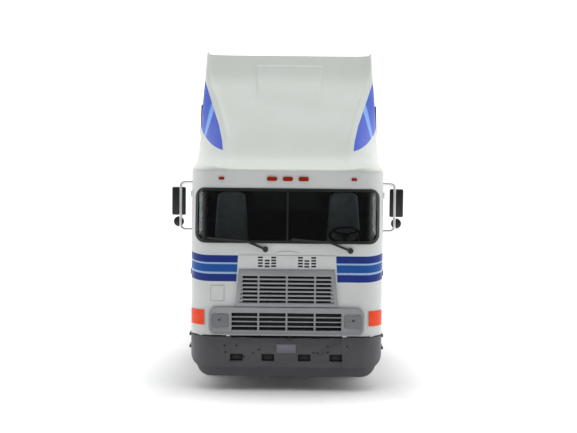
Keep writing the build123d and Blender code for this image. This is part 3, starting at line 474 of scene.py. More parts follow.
@dataclass(frozen=True)
class FloorPaper(Plastic):
    """Pale studio paper with painted shade far ahead of the object, and a painted glow round the object that
    is left out under it.

    Attributes:
        ahead: Where its painted shade starts ahead of the object, and where it is darkest.
        dark: The painted shade's colour there.
        painted_glow: The strength of the painted light that the paper gives off.
        near: How far outside the object's footprint that light starts, and where it is full.
        far: Where it starts to fade, and where it ends.
    """

    ahead: Pair = (220.0, 520.0)
    dark: Colour = (0.6, 0.6, 0.6)
    painted_glow: float = 0.3
    near: Pair = (2.0, 24.0)
    far: Pair = (150.0, 400.0)

    def base(self, sheet: Sheet) -> Socket:
        """Lay the painted shade of the far end over the pale paper.

        Args:
            sheet: The sheet of this paper.

        Returns:
            The socket of the colour.
        """
        _, y, _ = sheet.axes()
        # Painted shade: the paper darkens far ahead of the object.
        share = sheet.span(sheet.product(y, -1.0), 0.0, 1.0, *self.ahead)
        return sheet.blend(share, super().base(sheet), self.dark)

    def make(self) -> bpy.types.Material:
        """Lay the paper out, with a painted glow outside the object's own footprint and none under it.

        Returns:
            The material.
        """
        sheet = Sheet(super().make())
        x, y, _ = sheet.axes()
        beside = sheet.sum("SUBTRACT", sheet.sum("ABSOLUTE", x), CAB_HALF)
        beyond = sheet.sum("ADD", sheet.sum("ABSOLUTE", y), FRONT_Y)
        away = sheet.sum("MAXIMUM", beside, beyond)
        # Painted light: the paper glows outside the object's footprint, so the shadow under the object stays
        # dark.
        near = sheet.span(away, 0.0, self.painted_glow, *self.near)
        far = sheet.span(away, 1.0, 0.0, *self.far)
        sheet.set(Emission_Color=(1.0, 1.0, 1.0, 1.0))
        sheet.join(sheet.product(near, far), sheet.shader.inputs["Emission Strength"])
        return sheet.material


@dataclass(frozen=True)
class Metal:
    """Bright, brushed or plated metal, its gloss broken by fine streaks.

    Attributes:
        name: The finish's name.
        colour: Its colour.
        gloss: Its lowest and highest roughness.
        streaks: How much finer the streaks are along each axis.
        dulled: How bright its dull patches are against the rest.
    """

    name: str
    colour: Colour
    gloss: Pair = (0.12, 0.25)
    streaks: Point = (1.0, 1.0, 1.0)
    dulled: float = 0.82

    def make(self) -> bpy.types.Material:
        """Lay the finish out on a sheet of its own.

        Returns:
            The material.
        """
        sheet = Sheet(bpy.data.materials.new(self.name))
        dull = tuple(c * self.dulled for c in self.colour)
        shade = sheet.span(sheet.noise(250.0, 4.0, self.streaks), 0.0, 1.0)
        gloss = sheet.span(sheet.noise(900.0, 4.0, self.streaks), *self.gloss)
        sheet.join(sheet.blend(shade, self.colour, dull), sheet.shader.inputs["Base Color"])
        sheet.join(gloss, sheet.shader.inputs["Roughness"])
        sheet.set(Metallic=1.0)
        sheet.bump(sheet.noise(2500.0, 3.0, self.streaks), 0.15, 0.01)
        return sheet.material


@dataclass(frozen=True)
class Lens:
    """Clear or tinted plastic that light passes through, with moulded ribs.

    Attributes:
        name: The finish's name.
        colour: The tint.
        clear: How much light passes, from 0 to 1.
        ribs: Ribs per metre across it, or 0 for a plain one.
        gloss: Its roughness.
        shine: The strength of its own reflection.
        dulled: How bright its dull patches are against the rest.
    """

    name: str
    colour: Colour
    clear: float = 0.6
    ribs: float = 0.0
    gloss: float = 0.08
    shine: float = 0.3
    dulled: float = 0.85

    def make(self) -> bpy.types.Material:
        """Lay the finish out on a sheet of its own.

        Returns:
            The material.
        """
        sheet = Sheet(bpy.data.materials.new(self.name))
        dull = tuple(c * self.dulled for c in self.colour)
        shade = sheet.span(sheet.noise(500.0), 0.0, 1.0)
        sheet.join(sheet.blend(shade, self.colour, dull), sheet.shader.inputs["Base Color"])
        sheet.set(Transmission_Weight=self.clear, IOR=1.46)
        sheet.set(Roughness=self.gloss, Specular_IOR_Level=self.shine)
        if self.ribs > 0:
            x, _, z = sheet.axes()
            turns = self.ribs * MM * 2 * math.pi
            waves = [sheet.sum("SINE", sheet.product(axis, turns)) for axis in (x, z)]
            sheet.bump(sheet.sum("ADD", *waves), 0.2, 0.03)
        return sheet.material


Finish = Union[Plastic, Metal, Lens]

WHITE_PAINT = StripedPaint(
    "white_paint_striped",
    tone(206, 209, 208),
    tone(201, 205, 204),
    gloss=(0.28, 0.36),
    coat=0.2,
    shine=0.15,
    grain=0.004,
    stripes=(
        Stripe(36.9, 39.0, tone(0, 38, 122)),
        Stripe(36.45, 36.9, tone(150, 180, 215)),
        Stripe(34.2, 36.45, tone(0, 76, 152)),
        Stripe(33.65, 34.2, tone(150, 180, 215)),
        Stripe(31.5, 33.65, tone(0, 38, 122)),
    ),
)
FAIRING_PAINT = DecalPaint(
    "fairing_paint_blue_leaf",
    tone(203, 208, 203),
    tone(198, 204, 198),
    gloss=(0.34, 0.42),
    coat=0.1,
    shine=0.2,
    grain=0.004,
    ridge=((16.9, 19.3), (22.0, 19.9), (30.0, 21.3), (38.6, 23.3), (46.9, 25.4), (55.7, 27.4), (70.0, 29.5)),
    foot=((16.9, 68.6), (19.8, 69.4), (25.0, 70.6), (37.0, 73.6), (45.0, 77.0), (70.0, 79.0)),
    blues=(tone(22, 72, 194), tone(6, 50, 182), tone(112, 162, 232)),
)
GREY_PLASTIC = Plastic("bumper_grey_plastic", tone(71, 71, 74), tone(65, 65, 68), (0.42, 0.55), grain=0.012)
BLACK_TRIM = Plastic("black_trim_plastic", tone(22, 22, 24), tone(15, 15, 17), (0.35, 0.5))
SILVER_TRIM = Plastic("silver_grille_paint", tone(148, 150, 154), tone(138, 140, 144), (0.3, 0.42), coat=0.1)
# Dark plastic of the grille's backing, also used as painted shade in the vent slits, the bumper's holes and
# its pockets.
DARK_BACKING_AND_SHADE = Plastic("dark_mesh_backing_and_painted_shade", tone(18, 18, 20), tone(10, 10, 12), (0.55, 0.7))
INTERIOR_DARK = Plastic("dark_cab_interior", tone(16, 16, 17), tone(12, 12, 13), (0.5, 0.7), grain=0.02)
SEAT_GREY = Plastic("grey_seat_plastic", tone(150, 150, 154), tone(136, 136, 141), (0.55, 0.75), grain=0.03)
CHASSIS_DARK = Plastic("dark_chassis_paint", tone(38, 38, 41), tone(30, 30, 33), (0.4, 0.55), grain=0.015)
RIM_SILVER = Metal("silver_rims", tone(205, 207, 210), (0.22, 0.34))
CHROME = Metal("bright_chrome", tone(225, 227, 230), (0.05, 0.12))
ROD_STEEL = Metal("steel_rods", tone(180, 182, 186), (0.2, 0.32), (8.0, 1.0, 1.0))
TANK_SILVER = Metal("polished_tanks", tone(200, 203, 207), (0.16, 0.26), (1.0, 6.0, 6.0))
TYRE_RUBBER = Plastic(
    "tyre_rubber", tone(30, 30, 31), tone(22, 22, 23), (0.62, 0.8), grain=0.03, grain_scale=2500.0
)
FLAP_RUBBER = Plastic("flap_rubber", tone(28, 28, 29), tone(22, 22, 23), (0.6, 0.75), grain=0.02)
PLATE_GREY = Plastic("blank_plate_grey", tone(112, 110, 122), tone(104, 103, 114), (0.4, 0.5), grain=0.006)
GREASY_PLATE = Plastic("greased_coupling_plate", tone(24, 24, 25), tone(15, 15, 16), (0.2, 0.5), grain=0.02)
GLASS = Lens("screen_glass", tone(214, 222, 222), clear=1.0, gloss=0.02, shine=0.6)
CLEAR_LENS = Lens("clear_ribbed_lens", tone(158, 161, 166), clear=0.5, ribs=1400.0)
ORANGE_LENS = Lens("orange_ribbed_lens", tone(255, 72, 0), clear=0.1, ribs=1600.0)
MARKER_LENS = Lens("dark_orange_lens", tone(176, 44, 22), clear=0.2, ribs=1600.0)
RED_LENS = Lens("red_lens", tone(200, 22, 14), clear=0.25, ribs=1400.0)
STUDIO_FLOOR = FloorPaper("studio_floor", (0.93, 0.93, 0.93), (0.92, 0.92, 0.92), (0.9, 0.95), grain=0.0001)

NODE_FINISHES = {
    WHITE_PAINT: ("cab_shell",),
    FAIRING_PAINT: ("roof_fairing",),
    GREY_PLASTIC: ("bumper", "air_dam"),
    BLACK_TRIM: ("windscreen_gasket", "side_window_gaskets", "wipers", "side_steps", "fifth_wheel"),
    SILVER_TRIM: ("upper_grille", "lower_grille"),
    DARK_BACKING_AND_SHADE: ("grille_backing",),
    INTERIOR_DARK: ("dashboard", "engine_cover", "steering_wheel", "bunk", "cab_floor"),
    SEAT_GREY: ("seats",),
    CHASSIS_DARK: (
        "bumper_brackets",
        "cab_mounts",
        "frame_rail_left",
        "frame_rail_right",
        "cross_members",
        "engine_and_gearbox",
        "front_axle_beam",
        "front_springs",
        "drive_axle_housings",
        "prop_shafts",
        "walking_beams",
        "tank_hangers",
        "side_boxes",
        "deck_plate",
        "fifth_wheel_stand",
        "rear_bar",
    ),
    RIM_SILVER: ("front_rims", "drive_rims_1", "drive_rims_2"),
    CHROME: ("mirror_bracket_left", "mirror_bracket_right", "grab_handles", "exhaust", "mirrors"),
    ROD_STEEL: ("front_axle_rod", "drive_axle_rod_1", "drive_axle_rod_2"),
    TANK_SILVER: ("fuel_tanks",),
    TYRE_RUBBER: ("front_tyres", "drive_tyres_1", "drive_tyres_2"),
    FLAP_RUBBER: ("mud_flaps",),
    GLASS: ("windscreen", "side_windows"),
    CLEAR_LENS: ("headlamps",),
    ORANGE_LENS: ("turn_signals",),
    MARKER_LENS: ("marker_lamps",),
    RED_LENS: ("tail_lamps",),
}
_made: Dict[str, bpy.types.Material] = {}


def dress(piece: Piece, finish: Finish) -> None:
    """Give a whole piece one finish, made when it is first asked for.

    Args:
        piece: The piece.
        finish: Its finish.
    """
    if finish.name not in _made:
        _made[finish.name] = finish.make()
    piece.data.materials.clear()
    piece.data.materials.append(_made[finish.name])


# Modelling steps


def deselect() -> None:
    """Leave nothing selected, in object mode."""
    if bpy.context.object and bpy.context.object.mode != "OBJECT":
        leave()
    bpy.ops.object.select_all(action="DESELECT")


def leave() -> None:
    """Leave edit mode."""
    bpy.ops.object.mode_set(mode="OBJECT")


def take(*pieces: Piece) -> Piece:
    """Select only some pieces.

    Args:
        *pieces: The pieces, of which the first becomes the active one.

    Returns:
        The first piece.
    """
    deselect()
    for piece in pieces:
        piece.select_set(True)
    bpy.context.view_layer.objects.active = pieces[0]
    return pieces[0]


def settle(piece: Piece) -> Piece:
    """Put a piece's place, turn and size into its mesh.

    Args:
        piece: The piece.

    Returns:
        The same piece, with its object at the origin.
    """
    take(piece)
    bpy.ops.object.transform_apply(location=True, rotation=True, scale=True)
    return piece


def apply(piece: Piece, kind: str, **settings: object) -> Piece:
    """Add a modifier to a piece and apply it.

    Args:
        piece: The piece.
        kind: The modifier's type.
        **settings: The modifier's settings by name.

    Returns:
        The same piece.
    """
    take(piece)
    modifier = piece.modifiers.new(kind.lower(), kind)
    for name, value in settings.items():
        setattr(modifier, name, value)
    bpy.ops.object.modifier_apply(modifier=modifier.name)
    return piece


def smooth(piece: Piece, angle: float = 40.0) -> Piece:
    """Shade a piece smooth.

    Args:
        piece: The piece.
        angle: The angle in degrees past which an edge stays sharp.

    Returns:
        The same piece.
    """
    take(piece)
    bpy.ops.object.shade_smooth_by_angle(angle=math.radians(angle))
    return piece


def soften(piece: Piece, width: float, segments: int = 2, angle: float = 40.0) -> Piece:
    """Round a piece's sharper edges and shade it smooth.

    Args:
        piece: The piece.
        width: The rounding in millimetres.
        segments: The steps of the rounding.
        angle: The angle in degrees past which an edge is rounded.

    Returns:
        The same piece.
    """
    limit = math.radians(angle)
    apply(piece, "BEVEL", width=width * MM, segments=segments, limit_method="ANGLE", angle_limit=limit)
    return smooth(piece, angle)


def edit_all(piece: Piece) -> None:
    """Enter edit mode with every point of a piece selected.

    Args:
        piece: The piece.
    """
    take(piece)
    bpy.ops.object.mode_set(mode="EDIT")
    bpy.ops.mesh.select_mode(type="VERT")
    bpy.ops.mesh.select_all(action="SELECT")


def pick(piece: Piece, kind: Kind, wanted: Callable[..., bool]) -> None:
    """Enter edit mode with only some faces or edges of a piece selected.

    Args:
        piece: The piece.
        kind: Whether faces or edges are picked.
        wanted: Whether one of them is wanted.
    """
    edit_all(piece)
    bpy.ops.mesh.select_mode(type=kind.value)
    bpy.ops.mesh.select_all(action="DESELECT")
    leave()
    for element in piece.data.polygons if kind is Kind.FACES else piece.data.edges:
        element.select = wanted(element)
    bpy.ops.object.mode_set(mode="EDIT")


def ends_of(piece: Piece, edge: bpy.types.MeshEdge) -> List[Vector]:
    """The two ends of a piece's edge."""
    return [piece.data.vertices[index].co for index in edge.vertices]


def close_up(piece: Piece) -> Piece:
    """Merge doubled points and point every face outwards.

    Args:
        piece: The piece.

    Returns:
        The same piece.
    """
    edit_all(piece)
    bpy.ops.mesh.remove_doubles(threshold=TINY)
    bpy.ops.mesh.normals_make_consistent(inside=False)
    leave()
    return piece


def divide(piece: Piece, cuts: int) -> None:
    """Divide every edge of a piece.

    Args:
        piece: The piece.
        cuts: The number of new points on each edge.
    """
    edit_all(piece)
    bpy.ops.mesh.subdivide(number_cuts=cuts)
    leave()


def block(name: str, centre: Point, size: Point) -> Piece:
    """A sharp block.

    Args:
        name: The piece's name.
        centre: Its centre as X, distance behind the bumper and height, in millimetres.
        size: Its width, length and height.

    Returns:
        The new piece.
    """
    deselect()
    bpy.ops.mesh.primitive_cube_add(size=1.0, location=place(*centre))
    piece = bpy.context.object
    piece.name = name
    bpy.ops.transform.resize(value=Vector(size) * MM)
    return settle(piece)


def box(name: str, centre: Point, size: Point, edge: float = 0.1, segments: int = 2) -> Piece:
    """A block with rounded edges.

    Args:
        name: The piece's name.
        centre: Its centre as X, distance behind the bumper and height, in millimetres.
        size: Its width, length and height.
        edge: The rounding of its edges.
        segments: The steps of that rounding.

    Returns:
        The new piece.
    """
    piece = block(name, centre, size)
    edit_all(piece)
    bpy.ops.mesh.bevel(offset=edge * MM, segments=segments, affect="EDGES")
    leave()
    return smooth(piece, 50.0)


def drum(
    name: str, centre: Point, axis: Lay, radius: float, length: float, edge: float = 0.1, sides: int = 32
) -> Piece:
    """A round or many-sided block with rounded rims.

    Args:
        name: The piece's name.
        centre: Its centre as X, distance behind the bumper and height, in millimetres.
        axis: The direction of its axis.
        radius: Its radius.
        length: Its length along its axis.
        edge: The rounding of its rims.
        sides: The number of its sides.

    Returns:
        The new piece.
    """
    deselect()
    bpy.ops.mesh.primitive_cylinder_add(
        vertices=sides, radius=radius * MM, depth=length * MM, location=place(*centre), rotation=axis.value
    )
    piece = bpy.context.object
    piece.name = name
    settle(piece)
    return soften(piece, edge, 2, 35.0)


def drawn(name: str, path: Sequence[Vector]) -> Piece:
    """A line drawn from point to point, by extruding a lone point.

    Args:
        name: The piece's name.
        path: The line's points in metres.

    Returns:
        The line, left in edit mode.
    """
    deselect()
    bpy.ops.mesh.primitive_plane_add(size=1.0, location=(0, 0, 0))
    piece = bpy.context.object
    piece.name = name
    edit_all(piece)
    bpy.ops.mesh.merge(type="CENTER")
    leave()
    piece.data.vertices[0].co = path[0]
    edit_all(piece)
    for here, there in zip(path, path[1:]):
        bpy.ops.mesh.extrude_region_move(TRANSFORM_OT_translate={"value": there - here})
    return piece


def spun(name: str, profile: Sequence[Pair], centre: Point, axis: Lay, steps: int = 64) -> Piece:
    """A closed body of revolution, from a profile drawn point by point and spun about an axis.

    Args:
        name: The piece's name.
        profile: Points as distance along the axis from the centre and radius, in millimetres.
        centre: The centre as X, distance behind the bumper and height.
        axis: The direction of the axis.
        steps: The steps of a full turn.

    Returns:
        The new piece.
    """
    turn = Euler(axis.value).to_matrix()
    along, out = turn @ Vector((0, 0, 1)), turn @ Vector((1, 0, 0))
    piece = drawn(name, [place(*centre) + (along * a + out * r) * MM for a, r in profile])
    bpy.ops.mesh.select_all(action="SELECT")
    bpy.ops.mesh.spin(steps=steps, angle=2 * math.pi, center=place(*centre), axis=along)
    leave()
    close_up(piece)
    return smooth(piece, 35.0)


def rounded(points: Sequence[Point], radius: float, steps: int = 6) -> List[Vector]:
    """A path through points whose corners are rounded by arcs.

    Args:
        points: The corners as X, distance behind the bumper and height, in millimetres.
        radius: The arcs' radius.
        steps: The steps of each arc.

    Returns:
        The path's points in metres.
    """
    corners = [place(*point) for point in points]
    path = [corners[0]]
    for before, here, after in zip(corners, corners[1:], corners[2:]):
        inward, outward = (before - here).normalized(), (after - here).normalized()
        cut = radius * MM / math.tan(inward.angle(outward) / 2)
        for step in range(steps + 1):
            share = step / steps
            path.append(here + (inward * (1 - share) ** 2 + outward * share**2) * cut)
    path.append(corners[-1])
    return path


def tube(name: str, path: Sequence[Vector], radius: float) -> Piece:
    """A round bar along a path, closed at both ends.

    Args:
        name: The piece's name.
        path: The path's points in metres.
        radius: The bar's radius in millimetres.

    Returns:
        The new piece.
    """
    take(drawn(name, path))
    bpy.ops.object.convert(target="CURVE")
    piece = bpy.context.object
    piece.data.bevel_depth = radius * MM
    piece.data.bevel_resolution = 3
    piece.data.use_fill_caps = True
    bpy.ops.object.convert(target="MESH")
    piece = bpy.context.object
    close_up(piece)
    return smooth(piece, 45.0)


def copied(piece: Piece, move: Matrix) -> Piece:
    """A copy of a piece with its own mesh.

    Args:
        piece: The piece.
        move: How the copy is moved, turned or mirrored.

    Returns:
        The copy.
    """
    twin = bpy.data.objects.new(piece.name, piece.data.copy())
    bpy.context.scene.collection.objects.link(twin)
    twin.data.transform(move)
    if move.determinant() < 0:
        twin.data.flip_normals()
    return twin


def both_sides(piece: Piece) -> List[Piece]:
    """A piece and its mirror image on the vehicle's other side."""
    return [piece, copied(piece, Matrix.Scale(-1, 4, (1, 0, 0)))]


def shift(x: float, back: float, up: float) -> Matrix:
    """A move by millimetres along X, back and up."""
    return Matrix.Translation(Vector((x, back, up)) * MM)


def turn_about(centre: Point, degrees: float, axis: str) -> Matrix:
    """A turn about a point, given as X, distance behind the bumper and height in millimetres."""
    to_hub = Matrix.Translation(place(*centre))
    return to_hub @ Matrix.Rotation(math.radians(degrees), 4, axis) @ to_hub.inverted()


def joined(name: str, pieces: Sequence[Piece]) -> Piece:
    """Join pieces into one.

    Args:
        name: The new piece's name.
        pieces: The pieces.

    Returns:
        The new piece.
    """
    take(*pieces)
    bpy.ops.object.join()
    piece = bpy.context.object
    piece.name = name
    return piece


def paired(name: str, *pieces: Piece) -> Piece:
    """Join pieces and their mirror images on the vehicle's other side into one."""
    return joined(name, [side for piece in pieces for side in both_sides(piece)])


def traced(name: str, node: str) -> Piece:
    """Trace a CAD node, its flat faces joined, ready for softer edges.

    Args:
        name: The copy's name.
        node: The node's name.

    Returns:
        The merged copy.
    """
    piece = copied(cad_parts[node], Matrix.Identity(4))
    piece.name = name
    piece.data.name = name
    edit_all(piece)
    bpy.ops.mesh.remove_doubles(threshold=2 * TINY)
    bpy.ops.mesh.dissolve_limited(angle_limit=math.radians(1.0))
    leave()
    return piece


def ride(piece: Piece, slot: str, finish: Finish, *nodes: str, body: Body = Body.CHASSIS) -> None:
    """Finish a piece: its finish, its body and the nodes that it stands for.

    Args:
        piece: The finished piece.
        slot: Not used.
        finish: The finish.
        *nodes: The CAD nodes that it replaces.
        body: The body that it rides on.
    """
    dress(piece, finish)
    settle(piece)
    deselect()
    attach(piece, body.value)
    if nodes:
        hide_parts(*nodes)
    LOG.info("%s: %d faces on %s", piece.name, len(piece.data.polygons), body.value)


# Studio


@dataclass
class Studio:
    """The camera at the photograph's place, the pale floor and the soft light.

    Attributes:
        distance: From the bumper's face to the camera, in millimetres.
        height: Of the camera above the floor.
        offset: The camera's distance from the middle.
        pitch: Downward tilt in degrees.
        roll: Turn about the line of sight in degrees.
        pixels: Focal length in pixels of a frame this wide.
        frame_width: That frame's width.
        sensor: The sensor's width in millimetres.
        fade: Between which depths of the surround its strength rises, from -1 ahead to 1 behind.
        strength: The surround's strength ahead of that and behind it.
        tilt: How much brighter the surround is on the vehicle's left than in the middle.
        light_at: The top light's place in metres.
        light_side: The length of its sides in metres.
        light_power: Its power in watts.
        floor_size: The length of the floor's sides in metres.
    """

    distance: float = 342.0
    height: float = 74.8
    offset: float = 0.28
    pitch: float = 4.1
    roll: float = 0.6
    pixels: float = 1211.0
    frame_width: float = 577.0
    sensor: float = 36.0
    fade: Pair = (-0.8, -0.1)
    strength: Pair = (0.08, 1.5)
    tilt: float = 0.12
    light_at: Point = (0.0, 0.55, 0.8)
    light_side: float = 0.6
    light_power: float = 0.6
    floor_size: float = 12.0

    def camera(self) -> None:
        """Set the camera up."""
        data = bpy.data.cameras.new("camera")
        data.sensor_width = self.sensor
        data.lens = self.pixels / self.frame_width * self.sensor
        data.clip_start = 0.01
        data.clip_end = 20.0
        camera = bpy.data.objects.new("camera", data)
        bpy.context.scene.collection.objects.link(camera)
        camera.matrix_world = (
            Matrix.Translation(place(self.offset, -self.distance, self.height))
            @ Matrix.Rotation(math.radians(90 - self.pitch), 4, "X")
            @ Matrix.Rotation(math.radians(self.roll), 4, "Z")
        )
        bpy.context.scene.camera = camera

    def top_light(self) -> None:
        """Hang one soft light over the vehicle's rear, facing the origin."""
        data = bpy.data.lights.new("top_light", "AREA")
        data.shape = "RECTANGLE"
        data.size = self.light_side
        data.size_y = self.light_side
        data.energy = self.light_power
        light = bpy.data.objects.new("top_light", data)
        bpy.context.scene.collection.objects.link(light)
        light.location = self.light_at
        light.rotation_euler = (-Vector(self.light_at)).to_track_quat("-Z", "Y").to_euler()

    def world(self) -> None:
        """A white surround that is dimmer on the camera's side."""
        world = bpy.data.worlds.new("studio")
        bpy.context.scene.world = world
        world.use_nodes = True
        nodes, links = world.node_tree.nodes, world.node_tree.links
        coordinates = nodes.new("ShaderNodeTexCoord")
        split = nodes.new("ShaderNodeSeparateXYZ")
        ramp = nodes.new("ShaderNodeMapRange")
        ramp.interpolation_type = "SMOOTHSTEP"
        limits = ("From Min", "From Max", "To Min", "To Max")
        for name, number in zip(limits, (*self.fade, *self.strength)):
            ramp.inputs[name].default_value = number
        tilt = nodes.new("ShaderNodeMath")
        tilt.operation = "MULTIPLY_ADD"
        tilt.inputs[1].default_value = self.tilt
        tilt.inputs[2].default_value = 1.0
        product = nodes.new("ShaderNodeMath")
        product.operation = "MULTIPLY"
        background = nodes["Background"].inputs
        background["Color"].default_value = (1.0, 1.0, 1.0, 1.0)
        links.new(coordinates.outputs["Generated"], split.inputs["Vector"])
        links.new(split.outputs["Y"], ramp.inputs["Value"])
        links.new(split.outputs["X"], tilt.inputs[0])
        links.new(tilt.outputs["Value"], product.inputs[0])
        links.new(ramp.outputs["Result"], product.inputs[1])
        links.new(product.outputs["Value"], background["Strength"])

    def floor(self) -> None:
        """A wide pale floor."""
        deselect()
        bpy.ops.mesh.primitive_plane_add(size=self.floor_size, location=(0, 0, 0))
        floor = bpy.context.object
        floor.name = "floor"
        dress(floor, STUDIO_FLOOR)
        deselect()

    def build(self) -> None:
        """Set up camera, surround, floor and light."""
        bpy.context.scene.view_settings.view_transform = "Standard"
        self.camera()
        self.world()
        self.floor()
        self.top_light()


# Pieces


@dataclass(frozen=True)
class Section:
    """One upright section of the roof fairing, in millimetres.

    Attributes:
        behind: Its distance behind the bumper's face.
        shoulder: Height where the shoulder meets the side.
        ridge: Half-width of the ridge.
        crest: Height of the ridge.
        scoop: Height of the scoop between the ridges.
        horn: Width of the ridge's crown.
    """

    behind: float
    shoulder: float
    ridge: float
    crest: float
    scoop: float
    horn: float = 0.8


@dataclass
class RoofFairing:
    """The high scooped fairing on the cab's roof, with a raised hatch panel.

    Attributes:
        sections: Its sections from front to rear.
        base: Height of the cab's roof.
        corner: Radius of the cab's front corners in plan.
        sides: Shares of the side's height where its outline has points.
        swells: Points of the shoulder's slope, as the share of its run and how far it swells.
        crown: Points of the crown, as the share of its width outwards and how far they lie below.
        fall: The share inwards of the crown's inner slope, halfway down and at its foot.
        scoop_shares: Shares of the ridge's half-width where the scoop has points.
        wall: Thickness of its wall.
        deeper: How many wall thicknesses the hollow lies below the top, and inside the ridge.
        hollow_from: Where the hollow starts behind the bumper's face.
        window: Outline of the bunk window, as distance behind and height.
        window_middle: Its middle, the same way.
        window_reach: The distance from the middle to which the bar that cuts it reaches.
        window_corner: Radius of the window's corners.
        hatch: Half-width of the hatch panel at its foot and at its head.
        hatch_span: Where the hatch starts and ends behind the bumper's face.
        hatch_rise: How far the hatch stands proud of the scoop.
        hatch_fade: Over which lengths it rises at its sides, its foot and its head.
        hatch_sink: How far its rim lies in the scoop.
        hatch_sheet: Thickness of the panel.
        hatch_grid: Steps of the panel each way.
    """

    sections: Tuple[Section, ...] = (
        Section(3.08, 63.0, 18.7, 63.3, 63.15, 1.6),
        Section(3.35, 63.2, 18.6, 63.75, 63.5, 1.6),
        Section(4.4, 63.3, 18.5, 64.1, 63.8, 1.5),
        Section(6.6, 63.4, 18.4, 64.7, 64.3, 1.4),
        Section(10.1, 63.6, 18.3, 65.7, 65.2, 1.3),
        Section(14.0, 63.8, 18.3, 67.0, 66.2, 1.2),
        Section(19.0, 64.1, 18.5, 70.1, 69.1, 1.1),
        Section(24.0, 64.6, 18.8, 73.4, 72.3, 1.0),
        Section(30.0, 66.4, 19.9, 77.1, 75.9, 0.9),
        Section(36.0, 69.6, 21.2, 80.6, 79.3, 0.9),
        Section(41.5, 76.0, 22.5, 83.8, 82.5, 0.8),
        Section(47.0, 83.4, 23.9, 86.8, 85.6, 0.8),
        Section(52.0, 87.2, 25.2, 89.3, 88.3, 0.7),
        Section(57.0, 90.4, 26.3, 92.4, 91.2, 0.6),
        Section(62.0, 94.4, 26.9, 96.7, 95.3, 0.5),
        Section(67.0, 98.6, 27.2, 100.7, 99.5, 0.4),
    )
    base: float = 62.8
    corner: float = 7.0
    sides: Tuple[float, ...] = (0.0, 0.5, 0.9)
    swells: Tuple[Pair, ...] = ((0.08, 0.0), (0.35, 0.08), (0.7, 0.08))
    crown: Tuple[Pair, ...] = ((0.35, 0.1), (-0.35, 0.02))
    fall: Pair = (0.8, 2.0)
    scoop_shares: Tuple[float, ...] = (0.6, 0.3)
    wall: float = 1.4
    deeper: Pair = (1.6, 0.6)
    hollow_from: float = 18.0
    window: Tuple[Pair, ...] = ((43.0, 72.3), (58.0, 72.3), (58.0, 82.6), (47.5, 82.6))
    window_middle: Pair = (50.5, 77.4)
    window_reach: float = 60.0
    window_corner: float = 1.5
    hatch: Pair = (10.2, 11.3)
    hatch_span: Pair = (38.0, 63.0)
    hatch_rise: float = 0.55
    hatch_fade: Point = (1.0, 15.0, 0.7)
    hatch_sink: float = 0.05
    hatch_sheet: float = 0.5
    hatch_grid: int = 56

    def half_at(self, behind: float) -> float:
        """Find the half-width of the cab's plan.

        Args:
            behind: The distance behind the bumper's face.

        Returns:
            The half-width there, in millimetres.
        """
        into = self.sections[0].behind + self.corner - behind
        if into <= 0:
            return CAB_HALF
        return CAB_HALF - self.corner + math.sqrt(max(self.corner**2 - into**2, 0.0))

    def outline(self, section: Section, inset: float = 0.0) -> List[Vector]:
        """The closed loop of one section, from one foot over the top to the other.

        Args:
            section: The section.
            inset: How far the loop lies inside the outer skin.

        Returns:
            The points in metres.
        """
        deep, aside = self.deeper
        half = self.half_at(section.behind) - inset
        base = self.base - inset
        shoulder = max(section.shoulder - inset, base + 0.1)
        crest = section.crest - deep * inset
        scoop = section.scoop - deep * inset
        ridge = section.ridge - aside * inset
        rise = crest - shoulder
        reach = half - ridge
        right = [(half, base + share * (shoulder - base)) for share in self.sides]
        for share, swell in self.swells:
            right.append((half - share * reach + swell * rise, shoulder + share * rise + swell * reach))
        right += [(ridge + share * section.horn, crest - drop) for share, drop in self.crown]
        right.append((ridge - self.fall[0] * section.horn, crest - (crest - scoop) / 2))
        right.append((ridge - self.fall[1] * section.horn, scoop + 0.02))
        right += [(ridge * share, scoop) for share in self.scoop_shares]
        points = right + [(0.0, scoop)] + [(-x, z) for x, z in reversed(right)]
        return [place(x, section.behind, z) for x, z in points]

    def loft(self, name: str, rows: Sequence[Sequence[Vector]]) -> Piece:
        """A solid through closed loops, drawn from the first by extruding it from loop to loop.

        Args:
            name: The piece's name.
            rows: The loops, each with as many points.

        Returns:
            The solid, rounded off by subdivision, with a sharp foot and rear end.
        """
        deselect()
        bpy.ops.mesh.primitive_circle_add(vertices=len(rows[0]), radius=1.0, fill_type="NGON")
        solid = bpy.context.object
        solid.name = name
        for vertex, point in zip(solid.data.vertices, rows[0]):
            vertex.co = point
        edit_all(solid)
        bpy.ops.mesh.select_mode(type="FACE")
        for before, row in zip(rows, rows[1:]):
            bpy.ops.mesh.extrude_region_move(TRANSFORM_OT_translate={"value": (0, 0, 0)})
            leave()
            for vertex in [v for v in solid.data.vertices if v.select]:
                nearest = min(range(len(before)), key=lambda i: (before[i] - vertex.co).length)
                vertex.co = row[nearest]
            bpy.ops.object.mode_set(mode="EDIT")
        foot, rear = min(point.z for point in rows[0]), rows[-1][0].y

        def is_sharp(edge: bpy.types.MeshEdge) -> bool:
            """Whether an edge lies all along the foot or the rear end."""
            ends = ends_of(solid, edge)
            return all(abs(p.z - foot) < TINY for p in ends) or all(abs(p.y - rear) < TINY for p in ends)

        pick(solid, Kind.EDGES, is_sharp)
        bpy.ops.transform.edge_crease(value=1.0)
        bpy.ops.mesh.select_all(action="SELECT")
        bpy.ops.mesh.normals_make_consistent(inside=False)
        leave()
        apply(solid, "SUBSURF", levels=2, render_levels=2)
        for end in (rows[0][0].y, rear):
            self.flatten(solid, end)
        return solid

    def flatten(self, solid: Piece, end: float) -> None:
        """Make one face of all that lie in an end plane.

        Args:
            solid: The solid.
            end: The plane's place along Y in metres.
        """
        pick(solid, Kind.FACES, lambda face: abs(face.center.y - end) < TINY and abs(face.normal.y) > 0.99)
        bpy.ops.mesh.dissolve_faces()
        leave()

